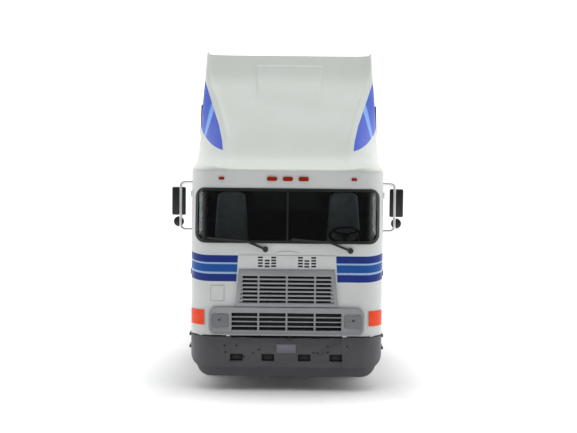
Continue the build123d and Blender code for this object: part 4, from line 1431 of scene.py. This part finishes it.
    def cutter(self) -> Piece:
        """Shape the bar that cuts the bunk windows.

        Returns:
            A bar through both sides with the windows' outline, its corners rounded.
        """
        deselect()
        bpy.ops.mesh.primitive_cube_add(size=1.0, location=place(0, *self.window_middle))
        bar = bpy.context.object
        for vertex in bar.data.vertices:
            corners = [p for p in self.window if (p[0] > self.window_middle[0]) == (vertex.co.y > 0)]
            farthest = max if vertex.co.z > 0 else min
            corner = farthest(corners, key=lambda p: p[1])
            vertex.co = place(math.copysign(self.window_reach, vertex.co.x), *corner) - bar.location
        settle(bar)

        def is_across(edge: bpy.types.MeshEdge) -> bool:
            """Whether an edge runs from side to side."""
            first, second = ends_of(bar, edge)
            return abs(first.x - second.x) > CAB_HALF * MM

        pick(bar, Kind.EDGES, is_across)
        bpy.ops.mesh.bevel(offset=self.window_corner * MM, segments=5, affect="EDGES")
        leave()
        return bar

    def hatch_half(self, along: float) -> float:
        """The hatch's half-width at a share of its length from its foot."""
        return self.hatch[0] + (self.hatch[1] - self.hatch[0]) * along

    def hatch_panel(self, skin: Piece) -> Piece:
        """Lay the raised hatch panel on the scoop, fading into it at the foot.

        Args:
            skin: The fairing's skin.

        Returns:
            The panel.
        """
        deselect()
        start, end = self.hatch_span
        steps = self.hatch_grid
        bpy.ops.mesh.primitive_grid_add(
            x_subdivisions=steps, y_subdivisions=steps, size=1.0, location=(0, 0, 0)
        )
        panel = bpy.context.object
        panel.name = "fairing_hatch"
        for vertex in panel.data.vertices:
            along = vertex.co.y + 0.5
            across = 2 * vertex.co.x * self.hatch_half(along)
            vertex.co = place(across, start + (end - start) * along, BEYOND)
        apply(
            panel,
            "SHRINKWRAP",
            target=skin,
            wrap_method="PROJECT",
            use_project_x=False,
            use_project_y=False,
            use_project_z=True,
            use_negative_direction=True,
            use_positive_direction=False,
            offset=0.0,
        )
        for vertex in panel.data.vertices:
            behind = vertex.co.y / MM - FRONT_Y
            side = self.hatch_half((behind - start) / (end - start)) - abs(vertex.co.x) / MM
            margins = zip((side, behind - start, end - behind), self.hatch_fade)
            share = max(min(1.0, *(margin / length for margin, length in margins)), 0.0)
            vertex.co.z += (self.hatch_rise * share * share * (3 - 2 * share) - self.hatch_sink) * MM
        apply(panel, "SOLIDIFY", thickness=self.hatch_sheet * MM, offset=-1.0)
        return smooth(panel, 60.0)

    def build(self) -> None:
        """Make the fairing and its hatch and let them stand for the CAD fairing."""
        skin = self.loft("roof_fairing_skin", [self.outline(s) for s in self.sections])
        panel = self.hatch_panel(skin)
        last = self.sections[-1]
        inner = [s for s in self.sections[:-1] if s.behind > self.hollow_from]
        inner.append(replace(last, behind=last.behind - self.wall))
        hollow = self.loft("fairing_hollow", [self.outline(s, self.wall) for s in inner])
        for tool in (hollow, self.cutter()):
            apply(skin, "BOOLEAN", object=tool, operation="DIFFERENCE", solver="EXACT")
            bpy.data.objects.remove(tool)
        smooth(skin, 38.0)
        ride(skin, "fairing_paint", FAIRING_PAINT, "roof_fairing")
        ride(panel, "fairing_paint", FAIRING_PAINT)


@dataclass
class Softened:
    """CAD pieces whose own shape is right and only needs softer edges.

    Attributes:
        rows: The node, its slot, its finish and the width of its edges in millimetres.
    """

    rows: Tuple[Tuple[str, str, Finish, float], ...] = (
        ("upper_grille", "silver_trim", SILVER_TRIM, 0.07),
        ("lower_grille", "silver_trim", SILVER_TRIM, 0.06),
        ("bumper", "bumper_grey", GREY_PLASTIC, 0.18),
        ("side_boxes", "chassis_dark", CHASSIS_DARK, 0.15),
        ("dashboard", "interior_dark", INTERIOR_DARK, 0.4),
        ("engine_cover", "interior_dark", INTERIOR_DARK, 0.3),
        ("fifth_wheel", "black_trim", GREASY_PLATE, 0.25),
        ("side_steps", "black_trim", BLACK_TRIM, 0.12),
        ("mud_flaps", "flap_rubber", FLAP_RUBBER, 0.1),
        ("rear_bar", "chassis_dark", CHASSIS_DARK, 0.2),
    )

    def build(self) -> None:
        """Trace each node, round its edges and let the copy stand for it."""
        for node, slot, finish, width in self.rows:
            ride(soften(traced(f"{node}_softened", node), width, 2, 45.0), slot, finish, node)


@dataclass
class FrontTrim:
    """What is fixed to the cab's front and the bumper: painted shade in the vents, holes and pockets, and
    plates, pegs and pins.

    Attributes:
        vents: The slits' columns: distance from the middle, top of the first slit and how many slits.
        slit: Size of the painted shade strip at a slit's bottom.
        slit_at: Where the strips' middles stand behind the bumper's face.
        slit_drop: How far a strip's middle lies below its slit's top.
        slit_pitch: From slit to slit.
        holes: The bumper's small holes, as X and height.
        hole: A hole's radius.
        step: Half-width and depth of the bumper's set-back middle.
        pockets: Where the bumper's pockets are across it.
        pocket_at: Distance behind and height of the pockets' floors.
        pocket: Size of a pocket's floor.
        plate_at: Centre of the blank plate.
        plate_size: Its size.
        rim: Width of the plate's rim, and width and depth of the step inside it.
        arch_at: Centre of the arched panel.
        arch: Its size.
        arch_drop: How far its top falls towards its ends, for each square millimetre across.
        pin_at: Centre of the tow pin.
        peg_at: Centre of a head lamp's peg.
    """

    vents: Tuple[Tuple[float, float, int], ...] = ((7.6, 38.7, 4), (5.65, 37.8, 3), (3.8, 38.7, 4))
    slit: Point = (1.38, 0.09, 0.48)
    slit_at: float = 1.345
    slit_drop: float = 0.25
    slit_pitch: float = 0.82
    holes: Tuple[Pair, ...] = (
        (-17.6, 13.2),
        (-14.2, 13.2),
        (-17.3, 11.35),
        (-12.1, 10.0),
        (-9.4, 11.2),
        (-7.7, 12.1),
        (7.8, 11.3),
        (8.9, 11.2),
        (11.9, 13.2),
        (11.9, 11.35),
        (17.5, 13.2),
    )
    hole: float = 0.32
    step: Pair = (15.9, 0.25)
    pockets: Tuple[float, ...] = (-14.2, -5.2, 5.2, 14.2)
    pocket_at: Pair = (0.97, 9.8)
    pocket: Point = (3.56, 0.14, 1.96)
    plate_at: Point = (0.0, 0.13, 12.45)
    plate_size: Point = (5.5, 0.26, 2.5)
    rim: Point = (0.18, 0.06, 0.07)
    arch_at: Point = (0.0, 0.885, 39.775)
    arch: Point = (6.6, 0.33, 1.05)
    arch_drop: float = 0.05
    pin_at: Point = (0.9, 0.0, 15.2)
    peg_at: Point = (19.1, 0.18, 20.55)

    def vent_shade_strips(self) -> Piece:
        """Lay dark strips at the bottom of the vent slits, as painted shade.

        Returns:
            The strips of both sides.
        """
        strips = []
        for column, top, slits in self.vents:
            for row in range(slits):
                level = top - self.slit_drop - row * self.slit_pitch
                # Painted shade: a dark strip stands for the shade at the bottom of each slit.
                strips.append(box("vent", (column, self.slit_at, level), self.slit, 0.02, 1))
        return paired("vent_shade_strips", *strips)

    def bumper_hole_shade(self) -> Piece:
        """Paint shade into the small holes and onto the pockets' floors in the bumper's face.

        Returns:
            The dark marks of painted shade.
        """
        middle, depth = self.step
        marks = []
        # Painted shade: dark discs stand for the shade inside the small holes, and dark plates for the shade
        # on the pockets' floors.
        for x, z in self.holes:
            behind = depth if abs(x) < middle else 0.0
            marks.append(drum("hole", (x, behind, z), Lay.Y, self.hole, 0.05, 0.01, 20))
        for x in self.pockets:
            marks.append(box("pocket", (x, *self.pocket_at), self.pocket, 0.03, 1))
        return joined("bumper_hole_shade", marks)

    def plate(self) -> Piece:
        """Press a blank registration plate with rounded corners and a raised rim.

        Returns:
            The plate.
        """
        rim, slope, depth = self.rim
        piece = box("blank_plate", self.plate_at, self.plate_size, 0.08, 2)
        front = min(face.center.y for face in piece.data.polygons)
        largest = max(face.area for face in piece.data.polygons)
        pick(piece, Kind.FACES, lambda face: abs(face.center.y - front) < TINY and face.area > largest / 2)
        bpy.ops.mesh.inset(thickness=rim * MM, depth=0.0)
        bpy.ops.mesh.inset(thickness=slope * MM, depth=-depth * MM)
        leave()
        return piece

    def arched_panel(self) -> Piece:
        """Shape the small arched panel over the vents, left bare.

        Returns:
            The panel.
        """
        piece = block("arched_panel", self.arch_at, self.arch)
        divide(piece, 9)
        foot = self.arch_at[2] - self.arch[2] / 2
        for vertex in piece.data.vertices:
            rise = (vertex.co.z / MM - foot) / self.arch[2]
            vertex.co.z -= self.arch_drop * MM * rise * (vertex.co.x / MM) ** 2
        return soften(piece, 0.1, 2, 50.0)

    def build(self) -> None:
        """Make the trim and ride it on the chassis."""
        ride(self.vent_shade_strips(), "black_trim", DARK_BACKING_AND_SHADE)
        ride(self.bumper_hole_shade(), "black_trim", DARK_BACKING_AND_SHADE)
        ride(self.plate(), "bumper_grey", PLATE_GREY)
        ride(self.arched_panel(), "white_paint", WHITE_PAINT)
        ride(drum("tow_pin", self.pin_at, Lay.Z, 0.42, 0.9, 0.12, 20), "black_trim", BLACK_TRIM)
        peg = drum("peg", self.peg_at, Lay.Y, 0.34, 0.24, 0.08, 20)
        ride(paired("lamp_pegs", peg), "black_trim", BLACK_TRIM)


@dataclass
class Doors:
    """Latches with their cups and hinges on the cab's sides.

    Attributes:
        latch_at: Centre of a latch behind the bumper and its height.
        latch: Its size.
        cup: Size of the cup round it.
        proud: How far the latch's centre stands out from the side, and the cup's.
        hinge_at: Where the hinges are behind the bumper.
        hinges: Their heights.
    """

    latch_at: Pair = (31.4, 36.8)
    latch: Point = (0.58, 3.0, 1.2)
    cup: Point = (0.38, 3.8, 2.0)
    proud: Pair = (0.09, -0.11)
    hinge_at: float = 9.15
    hinges: Pair = (33.5, 56.0)

    def build(self) -> None:
        """Make the fittings of both doors."""
        latch = box("door_latch", (CAB_HALF + self.proud[0], *self.latch_at), self.latch, 0.18, 3)
        cup = box("latch_cup", (CAB_HALF + self.proud[1], *self.latch_at), self.cup, 0.06, 2)
        ride(paired("door_latches", latch), "chrome_trim", CHROME)
        ride(paired("latch_cups", cup), "black_trim", BLACK_TRIM)
        centres = [(CAB_HALF + 0.05, self.hinge_at, level) for level in self.hinges]
        hinges = [drum("hinge", centre, Lay.Z, 0.32, 1.7, 0.08, 20) for centre in centres]
        ride(paired("door_hinges", *hinges), "white_paint", WHITE_PAINT)


@dataclass(frozen=True)
class Loop:
    """A round bar that leaves the cab's side, runs upright and comes back, with a foot at each end.

    Attributes:
        at: Where it stands behind the bumper.
        reach: The distance of its upright from the middle.
        levels: Heights of its lower and upper arms.
        radius: The bar's radius.
        bend: The radius of its bends.
        foot: Radius, thickness and rounding of its feet.
    """

    at: float
    reach: float
    levels: Pair
    radius: float
    bend: float
    foot: Point

    def make(self, name: str, side: int = 1) -> Piece:
        """Make the loop.

        Args:
            name: The piece's name.
            side: 1 for the vehicle's left side or -1 for its right.

        Returns:
            The bar with its feet.
        """
        low, high = self.levels
        inner, outer = side * (CAB_HALF - 0.1), side * self.reach
        corners = ((inner, high), (outer, high), (outer, low), (inner, low))
        path = [(x, self.at, level) for x, level in corners]
        bar = tube(name, rounded(path, self.bend), self.radius)
        roots = [(side * (CAB_HALF + 0.05), self.at, level) for level in self.levels]
        return joined(name, [bar, *[drum("foot", root, Lay.X, *self.foot, 24) for root in roots]])


@dataclass
class Mirrors:
    """Black mirror heads on bright round loops, with the glass on their rear faces.

    Attributes:
        loop: The loop that carries a side's heads.
        centre: The distance of the heads from the middle.
        head: Size of the large heads.
        disc: Radius of the round heads.
        head_at: Where the heads' middles stand behind the bumper.
        levels: Heights of the large and of the round heads' centres.
        margin: Width of the heads' rims round the glass, large and round.
        glass_at: Where the glasses' middles stand behind the bumper, large and round.
    """

    loop: Loop = Loop(11.0, 31.2, (45.6, 59.3), 0.42, 1.3, (0.75, 0.3, 0.1))
    centre: float = 31.8
    head: Point = (4.0, 0.92, 8.2)
    disc: float = 1.5
    head_at: float = 11.88
    levels: Pair = (53.7, 47.7)
    margin: Pair = (0.45, 0.38)
    glass_at: Pair = (12.355, 12.35)

    def build(self) -> None:
        """Make both sides' loops, heads and glasses."""
        for name, side in (("left", 1), ("right", -1)):
            loop = self.loop.make(f"mirror_loop_{name}", side)
            ride(loop, "chrome_trim", CHROME, f"mirror_bracket_{name}")
        upper, lower = self.levels
        width, depth, height = self.head
        shell = box("head", (self.centre, self.head_at, upper), self.head, 0.42, 4)
        disc = drum("disc", (self.centre, self.head_at, lower), Lay.Y, self.disc, depth, 0.4, 40)
        ride(paired("mirror_heads", shell, disc), "black_trim", BLACK_TRIM, "mirrors")
        pane = (width - 2 * self.margin[0], 0.09, height - 2 * self.margin[0])
        glass = box("glass", (self.centre, self.glass_at[0], upper), pane, 0.03, 2)
        eye_at = (self.centre, self.glass_at[1], lower)
        eye = drum("eye", eye_at, Lay.Y, self.disc - self.margin[1], 0.1, 0.04, 32)
        ride(paired("mirror_glasses", glass, eye), "chrome_trim", CHROME)


@dataclass
class Handles:
    """The round grab handles behind the doors.

    Attributes:
        loop: One handle.
    """

    loop: Loop = Loop(37.0, 29.65, (32.0, 42.0), 0.35, 0.9, (0.62, 0.26, 0.08))

    def build(self) -> None:
        """Make both handles with their feet."""
        ride(paired("grab_handle_bars", self.loop.make("handle")), "chrome_trim", CHROME, "grab_handles")


@dataclass
class Seats:
    """Two seats with bolstered backs, shaped pads and columns.

    Attributes:
        centre: Their distance from the middle.
        back_at: Where the backs' front faces stand behind the bumper.
        floor: Height of the cab's floor.
        pad_top: Height of the pads.
        top: Height of the backs.
        back: Half-width and thickness of a back.
        sink: How far a back reaches below its pad's top.
        hollow: Depth of the hollow between the bolsters.
        bolster: The share of the half-width where the bolsters start.
        taper: How much narrower each side of a back is at its top.
        droop: How far its upper corners fall.
        droop_from: The share of its height where they start to.
        pad_at: Where the pads' middles stand behind the bumper.
        pad: Size of a pad.
        column: Radius and height of a column.
        foot: Size of a foot.
    """

    centre: float = 17.0
    back_at: float = 25.0
    floor: float = 29.2
    pad_top: float = 38.5
    top: float = 56.0
    back: Pair = (5.3, 2.4)
    sink: float = 1.0
    hollow: float = 0.5
    bolster: float = 0.75
    taper: float = 1.1
    droop: float = 1.2
    droop_from: float = 0.8
    pad_at: float = 21.0
    pad: Point = (10.0, 10.0, 3.0)
    column: Pair = (2.4, 6.4)
    foot: Point = (5.0, 5.0, 0.8)

    def shaped_back(self) -> Piece:
        """Shape one back, narrower at the top, with a hollow between its bolsters.

        Returns:
            The back.
        """
        half, thickness = self.back
        low = self.pad_top - self.sink
        height = self.top - low
        centre = (self.centre, self.back_at + thickness / 2, low + height / 2)
        piece = block("back", centre, (2 * half, thickness, height))
        divide(piece, 6)
        front = place(0, self.back_at, 0).y
        for vertex in piece.data.vertices:
            up = (vertex.co.z / MM - low) / height
            across = (vertex.co.x / MM - self.centre) / half
            if vertex.co.y < front + 0.1 * MM:
                share = (1 - min(abs(across) / self.bolster, 1.0) ** 4) * (1 - abs(2 * up - 1) ** 6)
                vertex.co.y += self.hollow * MM * share
            vertex.co.x = (self.centre + across * (half - self.taper * up)) * MM
            corner = max(up - self.droop_from, 0.0) / (1 - self.droop_from)
            vertex.co.z -= self.droop * MM * corner * across**4
        return soften(piece, 0.45, 3, 55.0)

    def build(self) -> None:
        """Make both seats."""
        under = self.pad_top - self.pad[2]
        pad = box("pad", (self.centre, self.pad_at, under + self.pad[2] / 2), self.pad, 0.9, 4)
        column_at = (self.centre, self.pad_at, (self.floor + under) / 2)
        column = drum("column", column_at, Lay.Z, *self.column, 0.2, 32)
        foot = box("foot", (self.centre, self.pad_at, self.floor + self.foot[2] / 2), self.foot, 0.2, 2)
        seat = joined("seat", [self.shaped_back(), pad, column, foot])
        ride(paired("shaped_seats", seat), "seat_grey", SEAT_GREY, "seats")


@dataclass
class SteeringWheel:
    """A round wheel with three spokes, a hub and a column that ends on the dash.

    Attributes:
        centre: X, distance behind the bumper and height of its hub.
        radius: Of the rim's middle line.
        rim: The rim's own radius.
        rim_sides: The sides of the rim's section.
        tilt: Of its axis from upright, in degrees.
        spokes: The turns of its spokes in degrees.
        spoke: Size of a spoke.
        spoke_at: The distance of a spoke's middle from the hub.
        column_drop: How far the column's middle lies below the hub.
    """

    centre: Point = (17.0, 13.5, 44.0)
    radius: float = 4.5
    rim: float = 0.4
    rim_sides: int = 10
    tilt: float = -35.0
    spokes: Tuple[float, ...] = (90.0, 210.0, 330.0)
    spoke: Point = (3.7, 0.8, 0.32)
    spoke_at: float = 2.65
    column_drop: float = 4.3

    def build(self) -> None:
        """Make the wheel lying flat, then tilt it about its hub."""
        x, behind, z = self.centre
        turns = [2 * math.pi * step / self.rim_sides for step in range(self.rim_sides + 1)]
        ring = [(self.rim * math.sin(t), self.radius + self.rim * math.cos(t)) for t in turns]
        parts = [spun("rim", ring, self.centre, Lay.Z, 48)]
        parts.append(drum("hub", self.centre, Lay.Z, 1.2, 0.8, 0.25, 32))
        parts.append(drum("column", (x, behind, z - self.column_drop), Lay.Z, 0.7, 8.2, 0.1, 24))
        for degrees in self.spokes:
            spoke = box("spoke", (x + self.spoke_at, behind, z), self.spoke, 0.1, 2)
            spoke.data.transform(turn_about(self.centre, degrees, "Z"))
            parts.append(spoke)
        wheel = joined("round_steering_wheel", parts)
        wheel.data.transform(turn_about(self.centre, self.tilt, "X"))
        ride(wheel, "interior_dark", INTERIOR_DARK, "steering_wheel")


@dataclass
class Tyres:
    """Tyres with swelled walls, ribs and a grooved tread.

    Attributes:
        radius: Over the tread.
        half: Half the tyre's width.
        wall: The section from the bead to the tread, as how far inside the wall and radius.
        grooves: Where the grooves lie across the tread.
        groove: A groove's half-width at its top and at its floor, and its depth.
        steps: Steps of a full turn.
        slot: How deep the shoulder slots are.
        shoulder: Where the slotted shoulder starts, from the tyre's middle and in radius.
        front_slots: Steps from slot to slot of a front tyre and steps that a slot is wide.
        drive_slots: The same for a drive tyre.
        front_outer: The distance of the front tyres' outer walls from the middle.
        drive_outer: The same for the outer drive tyres.
        dual_pitch: From an outer to an inner drive tyre.
    """

    radius: float = 12.0
    half: float = 3.1
    wall: Tuple[Pair, ...] = (
        (0.45, 7.0),
        (0.16, 7.35),
        (0.12, 7.8),
        (0.02, 7.9),
        (0.02, 8.15),
        (0.1, 8.25),
        (0.0, 9.3),
        (0.0, 10.1),
        (0.14, 10.75),
        (0.3, 11.2),
        (0.55, 11.65),
        (0.8, 11.88),
        (0.95, 11.97),
        (1.3, 12.0),
    )
    grooves: Pair = (1.38, 0.46)
    groove: Point = (0.19, 0.13, 0.42)
    steps: int = 120
    slot: float = 0.35
    shoulder: Pair = (1.8, 11.65)
    front_slots: Tuple[int, int] = (3, 1)
    drive_slots: Tuple[int, int] = (4, 2)
    front_outer: float = 25.4
    drive_outer: float = 27.9
    dual_pitch: float = 7.0

    def profile(self) -> List[Pair]:
        """Draw the section from the outer bead over the tread and back.

        Returns:
            The points as place across and radius.
        """
        top, floor, depth = self.groove
        right = [(self.half - inside, radius) for inside, radius in self.wall]
        for at in self.grooves:
            right += [(at + top, self.radius), (at + floor, self.radius - depth)]
            right += [(at - floor, self.radius - depth), (at - top, self.radius)]
        points = right + [(-across, radius) for across, radius in reversed(right)]
        return points + [points[0]]

    def tyre(self, outer: float, axle_at: float, slots: Tuple[int, int]) -> Piece:
        """One tyre whose outer wall stands at an X place.

        Args:
            outer: The place of the outer wall, in millimetres from the middle.
            axle_at: The axle's distance behind the bumper.
            slots: How many steps lie from slot to slot, and how many steps each slot is wide.

        Returns:
            The tyre on the vehicle's left side.
        """
        centre = (outer - self.half, axle_at, AXLE_LEVEL)
        piece = spun("tyre", self.profile(), centre, Lay.X, self.steps)
        every, wide = slots
        aside, low = self.shoulder

        def in_slot(face: bpy.types.MeshPolygon) -> bool:
            """Find whether a face of the tread's shoulder lies where a slot is cut.

            Args:
                face: The face.

            Returns:
                Whether it does.
            """
            arm = (face.center - place(*centre)) / MM
            step = int(((math.atan2(arm.z, arm.y) / (2 * math.pi)) % 1.0) * self.steps)
            return math.hypot(arm.y, arm.z) > low and abs(arm.x) > aside and step % every < wide

        pick(piece, Kind.FACES, in_slot)
        bpy.ops.mesh.extrude_region_shrink_fatten(TRANSFORM_OT_shrink_fatten={"value": -self.slot * MM})
        leave()
        return piece

    def build(self) -> None:
        """Make the front pair and the two sets of duals."""
        ahead, after = DRIVE_AXLES
        front = paired("front_tyre_treads", self.tyre(self.front_outer, FRONT_AXLE, self.front_slots))
        ride(front, "tyre_rubber", TYRE_RUBBER, "front_tyres", body=Body.FRONT_WHEELS)
        outer = self.tyre(self.drive_outer, ahead, self.drive_slots)
        duals = paired("drive_tyre_treads_1", outer, copied(outer, shift(-self.dual_pitch, 0, 0)))
        second = copied(duals, shift(0, after - ahead, 0))
        second.name = "drive_tyre_treads_2"
        ride(duals, "tyre_rubber", TYRE_RUBBER, "drive_tyres_1", body=Body.DRIVE_WHEELS_1)
        ride(second, "tyre_rubber", TYRE_RUBBER, "drive_tyres_2", body=Body.DRIVE_WHEELS_2)


@dataclass
class WheelNuts:
    """Rings of nuts round the hubs, on the rims' discs.

    Attributes:
        circle: The radius of the ring.
        count: Nuts in a ring.
        nut: A nut's radius over its corners.
        stud: A stud's radius.
        height: The length of a nut, and of a stud.
        proud: How far the middles of a nut and of a stud stand out from the disc.
        front_disc: The distance of the front discs from the middle.
        drive_disc: The distance of the drive discs from the middle.
    """

    circle: float = 3.3
    count: int = 10
    nut: float = 0.28
    stud: float = 0.13
    height: float = 0.36
    proud: Pair = (0.14, 0.25)
    front_disc: float = 23.5
    drive_disc: float = 22.1

    def ring(self, disc: float, axle_at: float) -> Piece:
        """Make a ring of nuts with their studs.

        Args:
            disc: The distance of the rim's disc from the middle.
            axle_at: The axle's distance behind the bumper.

        Returns:
            The ring on the vehicle's left side.
        """
        top = AXLE_LEVEL + self.circle
        nut = drum("nut", (disc + self.proud[0], axle_at, top), Lay.X, self.nut, self.height, 0.05, 6)
        stud = drum("stud", (disc + self.proud[1], axle_at, top), Lay.X, self.stud, self.height, 0.04, 12)
        first = joined("nut", [nut, stud])
        axle = (0.0, axle_at, AXLE_LEVEL)
        turns = [360.0 * index / self.count for index in range(1, self.count)]
        return joined("nuts", [first, *[copied(first, turn_about(axle, turn, "X")) for turn in turns]])

    def build(self) -> None:
        """Make the rings of all the wheels."""
        rows = (
            ("front_wheel_nuts", self.front_disc, FRONT_AXLE, Body.FRONT_WHEELS),
            ("drive_wheel_nuts_1", self.drive_disc, DRIVE_AXLES[0], Body.DRIVE_WHEELS_1),
            ("drive_wheel_nuts_2", self.drive_disc, DRIVE_AXLES[1], Body.DRIVE_WHEELS_2),
        )
        for name, disc, axle_at, body in rows:
            ride(paired(name, self.ring(disc, axle_at)), "rim_silver", CHROME, body=body)


@dataclass(frozen=True)
class Hoop:
    """A flat ring round a tank or a pipe, its outer rims bevelled.

    Attributes:
        inner: Its inner radius.
        outer: Its outer radius.
        half: Half its width.
        bevel: The bevel's width along the axis and in radius.
        steps: The steps of a full turn.
    """

    inner: float
    outer: float
    half: float
    bevel: Pair
    steps: int = 40

    def make(self, name: str, centre: Point, axis: Lay) -> Piece:
        """Make the ring.

        Args:
            name: The piece's name.
            centre: Its centre as X, distance behind the bumper and height, in millimetres.
            axis: The direction of its axis.

        Returns:
            The ring.
        """
        flat, rim = self.half - self.bevel[0], self.outer - self.bevel[1]
        right = [(flat, self.outer), (self.half, rim), (self.half, self.inner)]
        left = [(-along, radius) for along, radius in reversed(right)]
        return spun(name, [*left, *right, left[0]], centre, axis, self.steps)


@dataclass
class TankFittings:
    """Straps and caps on the fuel tanks.

    Attributes:
        centre: The tanks' distance from the middle.
        level: Their height.
        strap: One strap.
        straps: Where the straps lie behind the bumper.
        filler: X and distance behind the bumper of a filler.
        cap_level: The height of a cap's middle.
        neck_level: The height of its neck's middle.
    """

    centre: float = 19.6
    level: float = 14.0
    strap: Hoop = Hoop(6.12, 6.4, 0.7, (0.2, 0.06), 72)
    straps: Tuple[float, ...] = (76.0, 91.0)
    filler: Pair = (21.6, 67.0)
    cap_level: float = 21.0
    neck_level: float = 20.2

    def build(self) -> None:
        """Make the fittings of both tanks."""
        bands = [self.strap.make("band", (self.centre, at, self.level), Lay.Y) for at in self.straps]
        ride(paired("tank_straps", *bands), "black_trim", BLACK_TRIM)
        cap = drum("cap", (*self.filler, self.cap_level), Lay.Z, 1.5, 0.5, 0.15, 12)
        neck = drum("neck", (*self.filler, self.neck_level), Lay.Z, 1.15, 1.2, 0.1, 32)
        ride(paired("tank_caps", joined("cap", [cap, neck])), "chrome_trim", CHROME)


@dataclass
class FrameBolts:
    """Rows of bolt heads along the frame's webs.

    Attributes:
        groups: Where each group of bolts starts behind the bumper, and its bolts in a row.
        pitch: From bolt to bolt.
        levels: The rows' heights.
        face: The distance of the bolts' middles from the vehicle's.
    """

    groups: Tuple[Tuple[float, int], ...] = (
        (46.5, 1),
        (60.5, 3),
        (80.5, 3),
        (95.5, 6),
        (123.0, 2),
        (140.0, 3),
        (155.0, 3),
    )
    pitch: float = 3.5
    levels: Pair = (19.0, 21.8)
    face: float = 10.1

    def build(self) -> None:
        """Make one bolt and copy it along both rails."""
        first = drum("bolt", (self.face, 0.0, 0.0), Lay.X, 0.34, 0.3, 0.06, 6)
        places = [start + self.pitch * step for start, count in self.groups for step in range(count)]
        bolts = [copied(first, shift(0, at, level)) for at in places for level in self.levels]
        bpy.data.objects.remove(first)
        for side, row in zip(("left", "right"), both_sides(joined("bolts", bolts))):
            row.name = f"frame_bolts_{side}"
            ride(row, "chassis_dark", CHASSIS_DARK)


@dataclass
class Coupling:
    """What shows on the fifth wheel and its stand: pivots, jaw and release bar.

    Attributes:
        at: The fifth wheel's centre behind the bumper.
        under: Height of its underside.
        pivot_x: The distance of the pivots' middles from the middle.
        lock: The lock ring's section, as height from its own middle and radius.
        lock_rise: How far the ring's middle lies above the underside.
        bar: The release bar's corners, as X, distance behind the centre and height over the underside.
    """

    at: float = 132.0
    under: float = 27.8
    pivot_x: float = 8.6
    lock: Tuple[Pair, ...] = (
        (-0.5, 0.72),
        (-0.5, 1.7),
        (0.06, 1.7),
        (0.1, 1.6),
        (0.1, 0.8),
        (0.06, 0.72),
        (-0.5, 0.72),
    )
    lock_rise: float = 1.44
    bar: Tuple[Point, ...] = ((3.0, -2.5, -0.35), (9.4, -2.5, -0.35), (9.4, -5.0, -0.35))

    def build(self) -> None:
        """Make the pivots, the lock ring and the bar."""
        pivot = drum("pivot", (self.pivot_x, self.at, self.under - 1.0), Lay.X, 0.9, 3.4, 0.15, 32)
        ride(paired("coupling_pivots", pivot), "chassis_dark", CHASSIS_DARK)
        ring = spun("coupling_lock", self.lock, (0.0, self.at, self.under + self.lock_rise), Lay.Z, 48)
        ride(ring, "rod_steel", ROD_STEEL)
        path = [(x, self.at + back, self.under + up) for x, back, up in self.bar]
        ride(tube("release_bar", rounded(path, 0.6), 0.28), "rod_steel", ROD_STEEL)


@dataclass
class ExhaustFittings:
    """Clamps and a ribbed guard round the silencer behind the cab.

    Attributes:
        x: The stack's place across the vehicle.
        at: Its distance behind the bumper.
        clamp: One clamp.
        clamps: Heights of the clamps.
        rib: One rib of the guard.
        ribs: How many ribs there are.
        rib_low: Height of the lowest.
        rib_pitch: From rib to rib.
    """

    x: float = -20.5
    at: float = 71.5
    clamp: Hoop = Hoop(1.0, 1.53, 0.6, (0.15, 0.08))
    clamps: Tuple[float, ...] = (31.4, 64.6, 78.0)
    rib: Hoop = Hoop(2.25, 2.5, 0.55, (0.15, 0.08))
    ribs: int = 12
    rib_low: float = 34.0
    rib_pitch: float = 2.5

    def build(self) -> None:
        """Make the clamps and the guard's ribs."""
        bands = [self.clamp.make("clamp", (self.x, self.at, level), Lay.Z) for level in self.clamps]
        ride(joined("exhaust_clamps", bands), "chrome_trim", CHROME)
        levels = [self.rib_low + row * self.rib_pitch for row in range(self.ribs)]
        ribs = [self.rib.make("rib", (self.x, self.at, level), Lay.Z) for level in levels]
        ride(joined("silencer_guard", ribs), "chrome_trim", CHROME)


def dress_nodes() -> None:
    """Give every carried-over node its finish."""
    named = {name: finish for finish, names in NODE_FINISHES.items() for name in names}
    for name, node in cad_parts.items():
        dress(node, named[name])
        LOG.info("%s keeps its shape in %s", name, named[name].name)


PARTS = (
    RoofFairing,
    Softened,
    FrontTrim,
    Doors,
    Mirrors,
    Handles,
    Seats,
    SteeringWheel,
    Tyres,
    WheelNuts,
    TankFittings,
    FrameBolts,
    Coupling,
    ExhaustFittings,
)


def main() -> None:
    """Build the looks piece by piece."""
    logging.basicConfig(level=logging.INFO, format="%(message)s")
    Studio().build()
    dress_nodes()
    for part in PARTS:
        part().build()
    deselect()
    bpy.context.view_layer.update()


if __name__ == "__main__":
    main()
